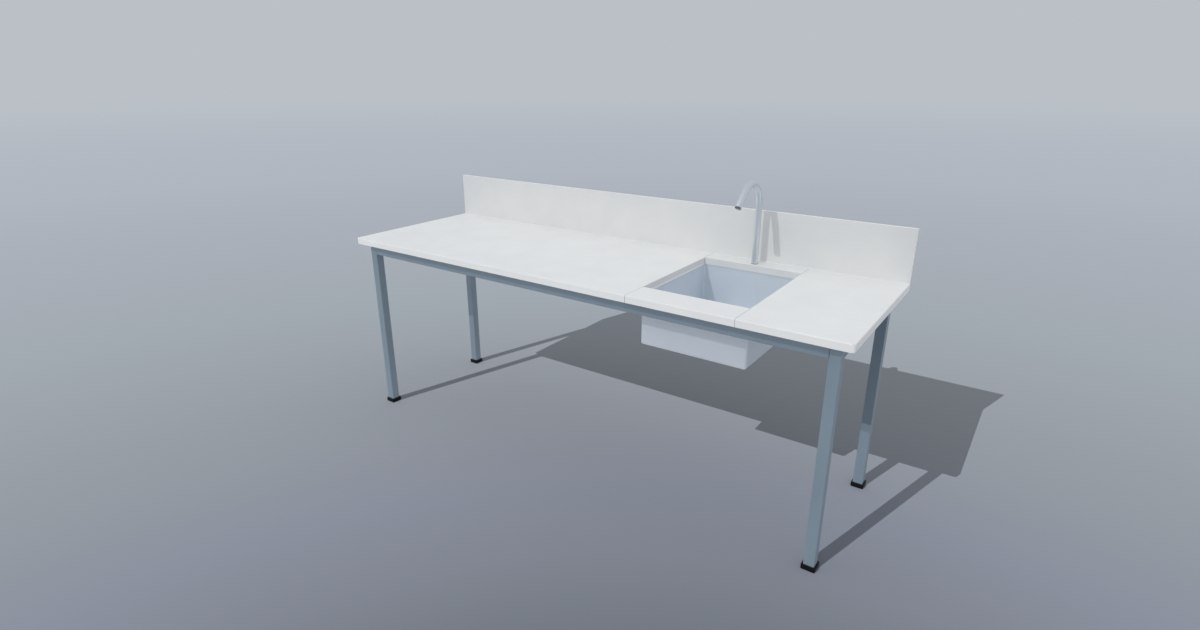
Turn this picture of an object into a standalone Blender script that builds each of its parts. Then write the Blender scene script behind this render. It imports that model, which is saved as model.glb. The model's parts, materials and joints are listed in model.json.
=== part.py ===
"""Laboratory bench with a sink bowl, a swivelling swan-neck outlet and a welded steel frame.

Metres, +Z up, +X along the bench to the right, -Y towards the person who stands at it.
The origin lies on the floor under the middle of the bench.
"""

import math

import bmesh
import bpy
from mathutils import Matrix, Vector

# Space between two pieces that touch, for a weld, a bond line or a sliding fit
FIT_GAP = 0.0003
# How far a cutter runs past the face it cuts
CUT_PAST = 0.002

# Whole bench
BENCH_LENGTH = 2.400
BENCH_DEPTH = 0.750
WORKTOP_TOP = 0.896
SLAB_THICKNESS = 0.029
SLAB_EDGE_RADIUS = 0.004
SLAB_EDGE_STEPS = 4
SLAB_CORNER_RADIUS = 0.015
SLAB_CORNER_STEPS = 6
SLAB_ARRIS = 0.0008
UPSTAND_HEIGHT = 0.218
UPSTAND_THICKNESS = 0.012
UPSTAND_EDGE_RADIUS = 0.0015
UPSTAND_EDGE_STEPS = 2

# Sink module within the worktop
LEFT_SLAB_LENGTH = 1.573
SINK_MODULE_LENGTH = 0.436
FRONT_STRIP_DEPTH = 0.1285
BACK_STRIP_DEPTH = 0.090

# Legs of square tube
LEG_SIZE = 0.040
LEG_WALL = 0.002
LEG_CORNER_RADIUS = 0.003
TUBE_CORNER_STEPS = 3
LEG_SIDE_INSET = 0.045
LEG_FRONT_INSET = 0.043
LEG_BACK_INSET = 0.046

# Rails of rectangular tube
RAIL_HEIGHT = 0.050
RAIL_WIDTH = 0.025
RAIL_WALL = 0.002
RAIL_CORNER_RADIUS = 0.003
CROSS_RAIL_TO_BOWL = 0.0005

# Bedding strips and joint plates fill the space between frame and slabs
BEDDING_THICKNESS = 0.003
BEDDING_WIDTH = 0.020
BEDDING_END_SPACE = 0.002
JOINT_PLATE_LENGTH = 0.092
JOINT_PLATE_WIDTH = 0.026
JOINT_PLATE_CORNER_RADIUS = 0.003
JOINT_PLATE_CORNER_STEPS = 3
JOINT_SCREW_SPREAD = 0.035
FRONT_PLATE_FROM_EDGE = 0.089
BACK_PLATE_FROM_BACK = 0.063

# Screws with round heads and hexagon sockets
JOINT_SCREW_DIAMETER = 0.005
JOINT_SCREW_LENGTH = 0.018
WORKTOP_SCREW_DIAMETER = 0.006
WORKTOP_SCREW_LENGTH = 0.025
WORKTOP_SCREW_FROM_LEG = 0.090
HEAD_DIAMETER_RATIO = 1.8
HEAD_HEIGHT_RATIO = 0.55
SOCKET_FLATS_RATIO = 0.6
SOCKET_DEPTH_RATIO = 0.65
SCREW_CHAMFER_RATIO = 0.125
SCREW_HOLE_CLEARANCE = 0.0006
SCREW_HOLE_EXTRA_DEPTH = 0.001
SCREWDRIVER_HOLE_DIAMETER = 0.014
SCREW_POINTS = 12

# Sink bowl of sheet steel
BOWL_WALL = 0.0015
BOWL_BOTTOM = 0.656
BOWL_CORNER_RADIUS = 0.006
BOWL_SIDE_REVEAL = 0.0005
BOWL_FRONT_REVEAL = 0.006
BOWL_BACK_REVEAL = 0.003
BOWL_FLANGE_WIDTH = 0.010
BOWL_FLOOR_FALL = 0.004
BOWL_CORNER_STEPS = 6
BOWL_COVE_RATIO = 1 / 3

# Waste fitting in the bowl's floor
RECESS_DIAMETER = 0.078
RECESS_DEPTH = 0.003
WASTE_HOLE_DIAMETER = 0.052
STRAINER_DIAMETER = 0.070
STRAINER_THICKNESS = 0.002
STRAINER_HOLES = 8
STRAINER_HOLE_DIAMETER = 0.008
STRAINER_HOLE_CIRCLE = 0.032
WASTE_GASKET_THICKNESS = 0.003
WASTE_TOP_DIAMETER = 0.070
WASTE_TOP_THICKNESS = 0.004
WASTE_CUP_DEPTH = 0.030
WASTE_WALL = 0.003
TAIL_DIAMETER = 0.040
TAIL_LENGTH = 0.045
WASTE_BRIDGE_WIDTH = 0.012
WASTE_BRIDGE_DEPTH = 0.010
WASTE_SCREW_DIAMETER = 0.006
WASTE_SCREW_HEAD_DIAMETER = 0.012
WASTE_SCREW_HEAD_HEIGHT = 0.003
WASTE_SLOT_WIDTH = 0.0016
WASTE_SLOT_DEPTH = 0.0015
WASTE_SCREW_DOME = 0.0015
ROUND_POINTS = 28

# Swan-neck outlet
TAP_FROM_BACK = 0.070
TUBE_DIAMETER = 0.028
TUBE_WALL = 0.0015
NECK_RADIUS = 0.095
NECK_CENTRE_ABOVE_TOP = 0.2543
NECK_SWEEP = 134.5
NECK_STEPS = 18
NECK_END_LENGTH = 0.0726
TUBE_POINTS = 28

# Base of the outlet, with the swivel joint inside the tube
BASE_HEIGHT = 0.037
DECK_GASKET_THICKNESS = 0.0015
SWIVEL_LENGTH = 0.060
CORE_CHAMFER = 0.002
BORE_DIAMETER = 0.012
SHANK_DIAMETER = 0.020
SHANK_LENGTH = 0.045
DECK_HOLE_DIAMETER = 0.022
O_RING_SECTION = 0.0017
O_RING_POINTS = 8
O_RING_GROOVE_DEPTH = 0.002
O_RING_GROOVE_LENGTH = 0.0026
LOWER_O_RING_UP = 0.026
UPPER_O_RING_UP = 0.048
STOP_GROOVE_UP = 0.012
STOP_GROOVE_HEIGHT = 0.0052
STOP_GROOVE_DEPTH = 0.0025
STOP_SCREW_DIAMETER = 0.004
SWIVEL_EACH_WAY = 90.0
STOP_GROOVE_STEPS = 20
BACKNUT_FLATS = 0.027
BACKNUT_HEIGHT = 0.010
BACKNUT_FLANGE_DIAMETER = 0.031
BACKNUT_FLANGE_HEIGHT = 0.002

# Levelling feet
FOOT_SIZE = 0.052
FOOT_HEIGHT = 0.018
FOOT_CORNER_RADIUS = 0.004
FOOT_EDGE_CHAMFER = 0.0015
BALL_DIAMETER = 0.015
BALL_CENTRE_UP = 0.0085
BALL_STEPS = 6
BALL_LOWEST_ANGLE = -80.0
FOOT_NECK_DIAMETER = 0.0125
STEM_DIAMETER = 0.010
STEM_LENGTH = 0.062
STEM_CHAMFER = 0.001
PLUG_LENGTH = 0.025
PLUG_CORNER_RADIUS = 0.002
FOOT_POINTS = 24

# Faces that meet at less than these angles, in degrees, are shaded as one smooth surface
ROUND_SMOOTH_ANGLE = 35.0
FACET_SMOOTH_ANGLE = 25.0
RING_SMOOTH_ANGLE = 60.0

# Colours as linear values of red, green and blue
WORKTOP_WHITE = (0.77, 0.79, 0.80)
FRAME_BLUE_GREY = (0.16, 0.21, 0.26)
STEEL_GREY = (0.45, 0.48, 0.52)
CHROME_GREY = (0.60, 0.61, 0.62)
BRASS_YELLOW = (0.60, 0.45, 0.20)
ZINC_GREY = (0.42, 0.43, 0.44)
FOOT_BLACK = (0.012, 0.012, 0.014)
RUBBER_BLACK = (0.020, 0.020, 0.022)

# Positions that follow from the sizes above
HALF_LENGTH = BENCH_LENGTH / 2
FRONT_Y = -BENCH_DEPTH / 2
BACK_Y = BENCH_DEPTH / 2
SLAB_BACK_Y = BACK_Y - UPSTAND_THICKNESS - FIT_GAP
SLAB_UNDERSIDE = WORKTOP_TOP - SLAB_THICKNESS
FRAME_TOP = SLAB_UNDERSIDE - BEDDING_THICKNESS - 2 * FIT_GAP
LEFT_JOINT_X = -HALF_LENGTH + LEFT_SLAB_LENGTH
RIGHT_JOINT_X = LEFT_JOINT_X + SINK_MODULE_LENGTH
SINK_X = (LEFT_JOINT_X + RIGHT_JOINT_X) / 2
CUT_OUT_FRONT_Y = FRONT_Y + FRONT_STRIP_DEPTH
CUT_OUT_BACK_Y = SLAB_BACK_Y + FIT_GAP - BACK_STRIP_DEPTH
LEG_X = HALF_LENGTH - LEG_SIDE_INSET - LEG_SIZE / 2
LEG_FRONT_Y = FRONT_Y + LEG_FRONT_INSET + LEG_SIZE / 2
LEG_BACK_Y = BACK_Y - LEG_BACK_INSET - LEG_SIZE / 2
FRONT_RAIL_Y = LEG_FRONT_Y - LEG_SIZE / 2 + RAIL_WIDTH / 2
BACK_RAIL_Y = LEG_BACK_Y + LEG_SIZE / 2 - RAIL_WIDTH / 2
END_RAIL_X = LEG_X + LEG_SIZE / 2 - RAIL_WIDTH / 2
RAIL_CENTRE_Z = FRAME_TOP - RAIL_HEIGHT / 2
BACK_RAIL_CENTRE_Z = RAIL_CENTRE_Z - RAIL_HEIGHT - FIT_GAP
CROSS_FRONT_Y = FRONT_RAIL_Y + RAIL_WIDTH / 2 + FIT_GAP
CROSS_BACK_Y = BACK_RAIL_Y + RAIL_WIDTH / 2
BEDDING_CENTRE_Z = FRAME_TOP + FIT_GAP + BEDDING_THICKNESS / 2
TAP_Y = BACK_Y - TAP_FROM_BACK
BASE_BOTTOM = WORKTOP_TOP + DECK_GASKET_THICKNESS + 2 * FIT_GAP
SPOUT_BOTTOM = WORKTOP_TOP + BASE_HEIGHT + FIT_GAP
SWIVEL_BOTTOM = WORKTOP_TOP + BASE_HEIGHT
BOWL_FRONT_Y = CUT_OUT_FRONT_Y - BOWL_FRONT_REVEAL
BOWL_BACK_Y = CUT_OUT_BACK_Y + BOWL_BACK_REVEAL
BOWL_Y = (BOWL_FRONT_Y + BOWL_BACK_Y) / 2


def clear_scene():
    for obj in list(bpy.data.objects):
        bpy.data.objects.remove(obj, do_unlink=True)


def make_material(name, colour, roughness, metallic):
    material = bpy.data.materials.new(name)
    material.use_nodes = True
    shader = material.node_tree.nodes["Principled BSDF"]
    shader.inputs["Base Color"].default_value = (*colour, 1.0)
    shader.inputs["Roughness"].default_value = roughness
    shader.inputs["Metallic"].default_value = metallic
    return material


def add_object(name, shape, material, location=(0.0, 0.0, 0.0), smooth_angle=None):
    """Turns a bmesh into one named object with one material."""
    mesh = bpy.data.meshes.new(name)
    bmesh.ops.recalc_face_normals(shape, faces=shape.faces[:])
    shape.to_mesh(mesh)
    shape.free()
    if smooth_angle is not None:
        mesh.shade_smooth()
        mesh.set_sharp_from_angle(angle=math.radians(smooth_angle))
    mesh.materials.append(material)
    obj = bpy.data.objects.new(name, mesh)
    obj.location = location
    bpy.context.scene.collection.objects.link(obj)
    return obj


def combine(target, operation, name, shape, location):
    """Adds a shape to an object or takes it away; the shape stays in the scene as a hidden guide."""
    mesh = bpy.data.meshes.new(name)
    bmesh.ops.recalc_face_normals(shape, faces=shape.faces[:])
    shape.to_mesh(mesh)
    shape.free()
    guide = bpy.data.objects.new(name, mesh)
    guide.location = location
    guide.hide_render = True
    guide.display_type = "WIRE"
    bpy.context.scene.collection.objects.link(guide)
    modifier = target.modifiers.new(name, "BOOLEAN")
    modifier.operation = operation
    modifier.solver = "EXACT"
    modifier.object = guide


def cut_from(target, name, shape, location=(0.0, 0.0, 0.0)):
    combine(target, "DIFFERENCE", name, shape, location)


def circle_points(radius, count):
    """Points on a circle, half a step round from the X axis."""
    step = 2 * math.pi / count
    return [
        (radius * math.cos((index + 0.5) * step), radius * math.sin((index + 0.5) * step))
        for index in range(count)
    ]


def hexagon_points(across_flats, count):
    """Points on a hexagon's sides, at the same angles as those of circle_points."""
    step = 2 * math.pi / count
    points = []
    for index in range(count):
        angle = (index + 0.5) * step
        from_flat = (angle % (math.pi / 3)) - math.pi / 6
        radius = across_flats / 2 / math.cos(from_flat)
        points.append((radius * math.cos(angle), radius * math.sin(angle)))
    return points


def rectangle_points(width, depth, radius, corner_steps):
    """Points on a rectangle with rounded corners, corner by corner."""
    points = []
    for corner in range(4):
        start = corner * math.pi / 2
        side_x = 1 if corner in (0, 3) else -1
        side_y = 1 if corner in (0, 1) else -1
        centre_x = side_x * (width / 2 - radius)
        centre_y = side_y * (depth / 2 - radius)
        for index in range(corner_steps + 1):
            angle = start + index / corner_steps * math.pi / 2
            points.append((centre_x + radius * math.cos(angle), centre_y + radius * math.sin(angle)))
    return points


def add_ring(shape, points, place):
    """Adds one closed loop of edges, at a height or in a turned plane, and returns its parts."""
    frame = place if isinstance(place, Matrix) else Matrix.Translation((0.0, 0.0, place))
    verts = [shape.verts.new(frame @ Vector((x, y, 0.0))) for x, y in points]
    edges = [shape.edges.new((verts[index - 1], verts[index])) for index in range(len(verts))]
    return verts, edges


def loft(rings, ring_shaped=False):
    """Joins loops of equal length, either into a solid with two end faces or round to the first."""
    shape = bmesh.new()
    loops = [add_ring(shape, points, place)[0] for points, place in rings]
    pairs = list(zip(loops, loops[1:]))
    if ring_shaped:
        pairs.append((loops[-1], loops[0]))
    else:
        shape.faces.new(loops[0])
        shape.faces.new(loops[-1])
    for below, above in pairs:
        for index in range(len(below)):
            shape.faces.new((below[index - 1], below[index], above[index], above[index - 1]))
    return shape


def hollow_section(width, depth, wall, radius, length):
    """Tube with a rounded rectangular section, from its ring-shaped end drawn up along Z."""
    shape = bmesh.new()
    inner_radius = max(radius - wall, FIT_GAP)
    outer_points = rectangle_points(width, depth, radius, TUBE_CORNER_STEPS)
    inner_points = rectangle_points(width - 2 * wall, depth - 2 * wall, inner_radius, TUBE_CORNER_STEPS)
    _, outer = add_ring(shape, outer_points, 0.0)
    _, inner = add_ring(shape, inner_points, 0.0)
    end = bmesh.ops.bridge_loops(shape, edges=outer + inner)["faces"]
    drawn = bmesh.ops.extrude_face_region(shape, geom=end)["geom"]
    moved = [item for item in drawn if isinstance(item, bmesh.types.BMVert)]
    bmesh.ops.translate(shape, verts=moved, vec=(0.0, 0.0, length))
    return shape


def block(low, high):
    """Box between two corners."""
    shape = bmesh.new()
    bmesh.ops.create_cube(shape, size=1.0)
    size = Vector(high) - Vector(low)
    middle = (Vector(high) + Vector(low)) / 2
    bmesh.ops.scale(shape, verts=shape.verts[:], vec=size)
    bmesh.ops.translate(shape, verts=shape.verts[:], vec=middle)
    return shape


def lies_at(edge, axis, value):
    """Whether both ends of an edge have this coordinate."""
    return all(abs(vert.co[axis] - value) < FIT_GAP / 4 for vert in edge.verts)


def round_edges(shape, edges, radius, segments):
    bmesh.ops.bevel(
        shape,
        geom=edges,
        offset=radius,
        segments=segments,
        profile=0.5,
        affect="EDGES",
        clamp_overlap=True,
        material=-1,
    )


def cylinders(places, diameter, low, high, points):
    """Upright cylinders at several places, as one cutter."""
    shape = bmesh.new()
    for x, y in places:
        middle = Matrix.Translation((x, y, (low + high) / 2))
        bmesh.ops.create_cone(
            shape,
            cap_ends=True,
            segments=points,
            radius1=diameter / 2,
            radius2=diameter / 2,
            depth=high - low,
            matrix=middle,
        )
    return shape


def screw_shape(diameter, length, head_diameter, head_height, points):
    """Screw that points up: its head hangs below the origin, its socket opens downwards."""
    socket_depth = SOCKET_DEPTH_RATIO * head_height
    socket = hexagon_points(diameter * SOCKET_FLATS_RATIO, points)
    chamfer = diameter * SCREW_CHAMFER_RATIO
    rings = [
        (socket, -head_height + socket_depth),
        (socket, -head_height),
        (circle_points(head_diameter / 2 - chamfer, points), -head_height),
        (circle_points(head_diameter / 2, points), -head_height + chamfer),
        (circle_points(head_diameter / 2, points), 0.0),
        (circle_points(diameter / 2, points), 0.0),
        (circle_points(diameter / 2, points), length - chamfer),
        (circle_points(diameter / 2 - chamfer, points), length),
    ]
    return loft(rings)


def joint_screw_places():
    """The eight screws of the joint plates, as names with X and Y."""
    places = {}
    for row, plate_y in (("front", front_plate_y()), ("back", back_plate_y())):
        for side, joint_x in (("left", LEFT_JOINT_X), ("right", RIGHT_JOINT_X)):
            for end, offset in (("outer", -1), ("inner", 1)):
                away = offset if side == "left" else -offset
                name = f"joint_screw_{row}_{side}_{end}"
                places[name] = (joint_x + away * JOINT_SCREW_SPREAD, plate_y)
    return places


def front_plate_y():
    return FRONT_Y + FRONT_PLATE_FROM_EDGE


def back_plate_y():
    return BACK_Y - BACK_PLATE_FROM_BACK


def worktop_screw_places():
    """The four screws that hold the worktop down, as names with X and Y."""
    front_y = LEG_FRONT_Y + LEG_SIZE / 2 + WORKTOP_SCREW_FROM_LEG
    back_y = LEG_BACK_Y - LEG_SIZE / 2 - WORKTOP_SCREW_FROM_LEG
    return {
        f"worktop_screw_{row}_{side}": (sign * END_RAIL_X, y)
        for side, sign in (("left", -1), ("right", 1))
        for row, y in (("front", front_y), ("back", back_y))
    }


def build_legs(paint):
    length = FRAME_TOP - FOOT_HEIGHT - FIT_GAP
    for side, x in (("left", -LEG_X), ("right", LEG_X)):
        for row, y in (("front", LEG_FRONT_Y), ("back", LEG_BACK_Y)):
            shape = hollow_section(LEG_SIZE, LEG_SIZE, LEG_WALL, LEG_CORNER_RADIUS, length)
            base = (x, y, FOOT_HEIGHT + FIT_GAP)
            add_object(f"leg_{row}_{side}", shape, paint, base, ROUND_SMOOTH_ANGLE)


def build_long_rails(paint):
    inner_x = LEG_X - LEG_SIZE / 2 - FIT_GAP
    rows = (("rail_front", FRONT_RAIL_Y, RAIL_CENTRE_Z), ("rail_back", BACK_RAIL_Y, BACK_RAIL_CENTRE_Z))
    for name, y, z in rows:
        shape = hollow_section(RAIL_HEIGHT, RAIL_WIDTH, RAIL_WALL, RAIL_CORNER_RADIUS, 2 * inner_x)
        rail = add_object(name, shape, paint, (-inner_x, y, z), ROUND_SMOOTH_ANGLE)
        rail.rotation_euler = (0.0, math.pi / 2, 0.0)


def rail_along_y(name, x, low_y, high_y, paint):
    shape = hollow_section(RAIL_WIDTH, RAIL_HEIGHT, RAIL_WALL, RAIL_CORNER_RADIUS, high_y - low_y)
    rail = add_object(name, shape, paint, (x, low_y, RAIL_CENTRE_Z), ROUND_SMOOTH_ANGLE)
    rail.rotation_euler = (-math.pi / 2, 0.0, 0.0)
    return rail


def build_end_rails(paint):
    low_y = LEG_FRONT_Y + LEG_SIZE / 2 + FIT_GAP
    high_y = LEG_BACK_Y - LEG_SIZE / 2 - FIT_GAP
    clearance = WORKTOP_SCREW_DIAMETER + SCREW_HOLE_CLEARANCE
    inside_top = FRAME_TOP - RAIL_WALL - CUT_PAST
    inside_bottom = FRAME_TOP - RAIL_HEIGHT + RAIL_WALL + CUT_PAST
    outside_bottom = FRAME_TOP - RAIL_HEIGHT - CUT_PAST
    for side, sign in (("left", -1), ("right", 1)):
        rail = rail_along_y(f"rail_end_{side}", sign * END_RAIL_X, low_y, high_y, paint)
        places = [place for name, place in worktop_screw_places().items() if name.endswith(side)]
        upper = cylinders(places, clearance, inside_top, FRAME_TOP + CUT_PAST, SCREW_POINTS)
        cut_from(rail, f"screw_holes_{side}", upper)
        lower = cylinders(places, SCREWDRIVER_HOLE_DIAMETER, outside_bottom, inside_bottom, SCREW_POINTS)
        cut_from(rail, f"screwdriver_holes_{side}", lower)


def build_cross_rails(paint):
    beside = BOWL_SIDE_REVEAL + BOWL_WALL + CROSS_RAIL_TO_BOWL + RAIL_WIDTH / 2
    rail_along_y("cross_rail_middle", middle_rail_x(), CROSS_FRONT_Y, CROSS_BACK_Y, paint)
    rail_along_y("cross_rail_sink_left", LEFT_JOINT_X - beside, CROSS_FRONT_Y, CROSS_BACK_Y, paint)
    rail_along_y("cross_rail_sink_right", RIGHT_JOINT_X + beside, CROSS_FRONT_Y, CROSS_BACK_Y, paint)


def middle_rail_x():
    return -HALF_LENGTH + LEFT_SLAB_LENGTH / 2


def bedding_strip(name, low, high, rubber):
    half = BEDDING_THICKNESS / 2
    bottom = (low[0], low[1], BEDDING_CENTRE_Z - half)
    top = (high[0], high[1], BEDDING_CENTRE_Z + half)
    return add_object(name, block(bottom, top), rubber)


def build_bedding(rubber):
    half = BEDDING_WIDTH / 2
    leg_inner_x = LEG_X - LEG_SIZE / 2 - BEDDING_END_SPACE
    bedding_strip(
        "bedding_strip_front",
        (-leg_inner_x, FRONT_RAIL_Y - half),
        (leg_inner_x, FRONT_RAIL_Y + half),
        rubber,
    )
    low_y = LEG_FRONT_Y + LEG_SIZE / 2 + BEDDING_END_SPACE
    high_y = LEG_BACK_Y - LEG_SIZE / 2 - BEDDING_END_SPACE
    clearance = WORKTOP_SCREW_DIAMETER + SCREW_HOLE_CLEARANCE
    for side, sign in (("left", -1), ("right", 1)):
        x = sign * END_RAIL_X
        strip = bedding_strip(f"bedding_strip_{side}", (x - half, low_y), (x + half, high_y), rubber)
        places = [place for name, place in worktop_screw_places().items() if name.endswith(side)]
        holes = cylinders(places, clearance, FRAME_TOP - CUT_PAST, SLAB_UNDERSIDE + CUT_PAST, SCREW_POINTS)
        cut_from(strip, f"bedding_holes_{side}", holes)
    x = middle_rail_x()
    bedding_strip(
        "bedding_strip_middle",
        (x - half, CROSS_FRONT_Y + BEDDING_END_SPACE),
        (x + half, CROSS_BACK_Y - BEDDING_END_SPACE),
        rubber,
    )


def soften_slab(shape, joint_xs):
    """Rounds a slab's free corners and rim and takes the sharp arris off its joints and cut-out."""
    corners = []
    for edge in shape.edges:
        at_end = lies_at(edge, 0, -HALF_LENGTH) or lies_at(edge, 0, HALF_LENGTH)
        if at_end and lies_at(edge, 1, FRONT_Y):
            corners.append(edge)
    round_edges(shape, corners, SLAB_CORNER_RADIUS, SLAB_CORNER_STEPS)
    neighbours = [(0, x) for x in joint_xs]
    neighbours += [(1, y) for y in (CUT_OUT_FRONT_Y, CUT_OUT_BACK_Y, SLAB_BACK_Y)]
    rim = []
    for edge in shape.edges:
        at_neighbour = any(lies_at(edge, axis, value) for axis, value in neighbours)
        if lies_at(edge, 2, WORKTOP_TOP) and not at_neighbour:
            rim.append(edge)
    round_edges(shape, rim, SLAB_EDGE_RADIUS, SLAB_EDGE_STEPS)
    arrises = []
    for edge in shape.edges:
        at_joint = any(lies_at(edge, 0, x) for x in joint_xs)
        at_cut_out = lies_at(edge, 1, CUT_OUT_FRONT_Y) or lies_at(edge, 1, CUT_OUT_BACK_Y)
        hidden = lies_at(edge, 2, SLAB_UNDERSIDE) or lies_at(edge, 1, SLAB_BACK_Y)
        if not hidden and (at_joint or (at_cut_out and lies_at(edge, 2, WORKTOP_TOP))):
            arrises.append(edge)
    round_edges(shape, arrises, SLAB_ARRIS, 1)


def build_slab(name, low, high, white):
    """Worktop slab with softened edges and blind holes for its screws."""
    shape = block((low[0], low[1], SLAB_UNDERSIDE), (high[0], high[1], WORKTOP_TOP))
    soften_slab(shape, [x for x in (low[0], high[0]) if abs(x) < HALF_LENGTH])
    slab = add_object(name, shape, white, smooth_angle=ROUND_SMOOTH_ANGLE)
    sets = (
        ("joint", joint_screw_places(), JOINT_SCREW_DIAMETER, joint_screw_depth()),
        ("hold_down", worktop_screw_places(), WORKTOP_SCREW_DIAMETER, worktop_screw_depth()),
    )
    for label, places, diameter, depth in sets:
        inside = [(x, y) for x, y in places.values() if low[0] < x < high[0] and low[1] < y < high[1]]
        if inside:
            top = SLAB_UNDERSIDE + depth + SCREW_HOLE_EXTRA_DEPTH
            width = diameter + SCREW_HOLE_CLEARANCE
            holes = cylinders(inside, width, SLAB_UNDERSIDE - CUT_PAST, top, SCREW_POINTS)
            cut_from(slab, f"{label}_holes_{name}", holes)
    return slab


def joint_screw_depth():
    """How far a joint screw reaches above the slabs' underside."""
    return JOINT_SCREW_LENGTH - BEDDING_THICKNESS - 2 * FIT_GAP


def worktop_screw_depth():
    """How far a worktop screw reaches above the slabs' underside."""
    return WORKTOP_SCREW_LENGTH - RAIL_WALL - BEDDING_THICKNESS - 3 * FIT_GAP


def build_worktop(white):
    half_gap = FIT_GAP / 2
    left_end = LEFT_JOINT_X - half_gap
    strip_start = LEFT_JOINT_X + half_gap
    strip_end = RIGHT_JOINT_X - half_gap
    right_start = RIGHT_JOINT_X + half_gap
    build_slab("worktop_left", (-HALF_LENGTH, FRONT_Y), (left_end, SLAB_BACK_Y), white)
    build_slab("worktop_right", (right_start, FRONT_Y), (HALF_LENGTH, SLAB_BACK_Y), white)
    build_slab("sink_front_strip", (strip_start, FRONT_Y), (strip_end, CUT_OUT_FRONT_Y), white)
    back = build_slab("sink_back_strip", (strip_start, CUT_OUT_BACK_Y), (strip_end, SLAB_BACK_Y), white)
    low = SLAB_UNDERSIDE - CUT_PAST
    hole = cylinders([(SINK_X, TAP_Y)], DECK_HOLE_DIAMETER, low, WORKTOP_TOP + CUT_PAST, ROUND_POINTS)
    cut_from(back, "tap_hole", hole)


def build_upstand(white):
    top = WORKTOP_TOP + UPSTAND_HEIGHT
    low = (-HALF_LENGTH, BACK_Y - UPSTAND_THICKNESS, SLAB_UNDERSIDE)
    shape = block(low, (HALF_LENGTH, BACK_Y, top))
    rim = [edge for edge in shape.edges if lies_at(edge, 2, top)]
    round_edges(shape, rim, UPSTAND_EDGE_RADIUS, UPSTAND_EDGE_STEPS)
    add_object("upstand", shape, white, smooth_angle=ROUND_SMOOTH_ANGLE)


def build_joint_plates(zinc):
    for row, y in (("front", front_plate_y()), ("back", back_plate_y())):
        for side, x in (("left", LEFT_JOINT_X), ("right", RIGHT_JOINT_X)):
            outline = rectangle_points(
                JOINT_PLATE_LENGTH,
                JOINT_PLATE_WIDTH,
                JOINT_PLATE_CORNER_RADIUS,
                JOINT_PLATE_CORNER_STEPS,
            )
            half = BEDDING_THICKNESS / 2
            shape = loft([(outline, -half), (outline, half)])
            plate = add_object(f"joint_plate_{row}_{side}", shape, zinc, (x, y, BEDDING_CENTRE_Z))
            places = [(x - JOINT_SCREW_SPREAD, y), (x + JOINT_SCREW_SPREAD, y)]
            width = JOINT_SCREW_DIAMETER + SCREW_HOLE_CLEARANCE
            low = FRAME_TOP - CUT_PAST
            holes = cylinders(places, width, low, SLAB_UNDERSIDE + CUT_PAST, SCREW_POINTS)
            cut_from(plate, f"plate_holes_{row}_{side}", holes)


def build_screws(zinc):
    for name, (x, y) in joint_screw_places().items():
        head = JOINT_SCREW_DIAMETER * HEAD_DIAMETER_RATIO
        height = JOINT_SCREW_DIAMETER * HEAD_HEIGHT_RATIO
        shape = screw_shape(JOINT_SCREW_DIAMETER, JOINT_SCREW_LENGTH, head, height, SCREW_POINTS)
        add_object(name, shape, zinc, (x, y, FRAME_TOP), ROUND_SMOOTH_ANGLE)
    for name, (x, y) in worktop_screw_places().items():
        head = WORKTOP_SCREW_DIAMETER * HEAD_DIAMETER_RATIO
        height = WORKTOP_SCREW_DIAMETER * HEAD_HEIGHT_RATIO
        shape = screw_shape(WORKTOP_SCREW_DIAMETER, WORKTOP_SCREW_LENGTH, head, height, SCREW_POINTS)
        seat = FRAME_TOP - RAIL_WALL - FIT_GAP
        add_object(name, shape, zinc, (x, y, seat), ROUND_SMOOTH_ANGLE)


def build_bowl(steel):
    """Pressed bowl: turned-down lip, flange, walls and a floor that falls to the waste recess."""
    width = SINK_MODULE_LENGTH + 2 * BOWL_SIDE_REVEAL
    depth = BOWL_BACK_Y - BOWL_FRONT_Y
    top = SLAB_UNDERSIDE - FIT_GAP
    lip_bottom = FRAME_TOP + FIT_GAP
    steps = BOWL_CORNER_STEPS
    wall = BOWL_WALL

    def outline(grow, radius):
        return rectangle_points(width + 2 * grow, depth + 2 * grow, radius, steps)

    recess_outer = circle_points(RECESS_DIAMETER / 2, ROUND_POINTS)
    recess_inner = circle_points(RECESS_DIAMETER / 2 - wall, ROUND_POINTS)
    hole = circle_points(WASTE_HOLE_DIAMETER / 2, ROUND_POINTS)
    flange = BOWL_FLANGE_WIDTH
    radius = BOWL_CORNER_RADIUS
    slope_bottom = BOWL_BOTTOM + RECESS_DEPTH
    wall_bottom = slope_bottom + BOWL_FLOOR_FALL
    cove = radius * BOWL_COVE_RATIO
    inner = [
        (outline(flange, radius + flange), lip_bottom),
        (outline(flange, radius + flange), top),
        (outline(0.0, radius), top),
        (outline(0.0, radius), wall_bottom + wall + radius),
        (outline(-cove, radius), wall_bottom + wall + cove),
        (outline(-radius, radius), wall_bottom + wall),
        (circle_points(RECESS_DIAMETER / 2, ROUND_POINTS), slope_bottom + wall),
        (recess_inner, BOWL_BOTTOM + wall),
        (hole, BOWL_BOTTOM + wall),
    ]
    outer = [
        (hole, BOWL_BOTTOM),
        (recess_outer, BOWL_BOTTOM),
        (circle_points(RECESS_DIAMETER / 2 + wall, ROUND_POINTS), slope_bottom),
        (outline(-radius, radius), wall_bottom),
        (outline(wall - cove, radius), wall_bottom + cove),
        (outline(wall, radius + wall), wall_bottom + radius),
        (outline(wall, radius + wall), top - wall),
        (outline(flange - wall, radius + flange - wall), top - wall),
        (outline(flange - wall, radius + flange - wall), lip_bottom),
    ]
    shape = loft(inner + outer, ring_shaped=True)
    add_object("sink_bowl", shape, steel, (SINK_X, BOWL_Y, 0.0), ROUND_SMOOTH_ANGLE)


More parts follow.
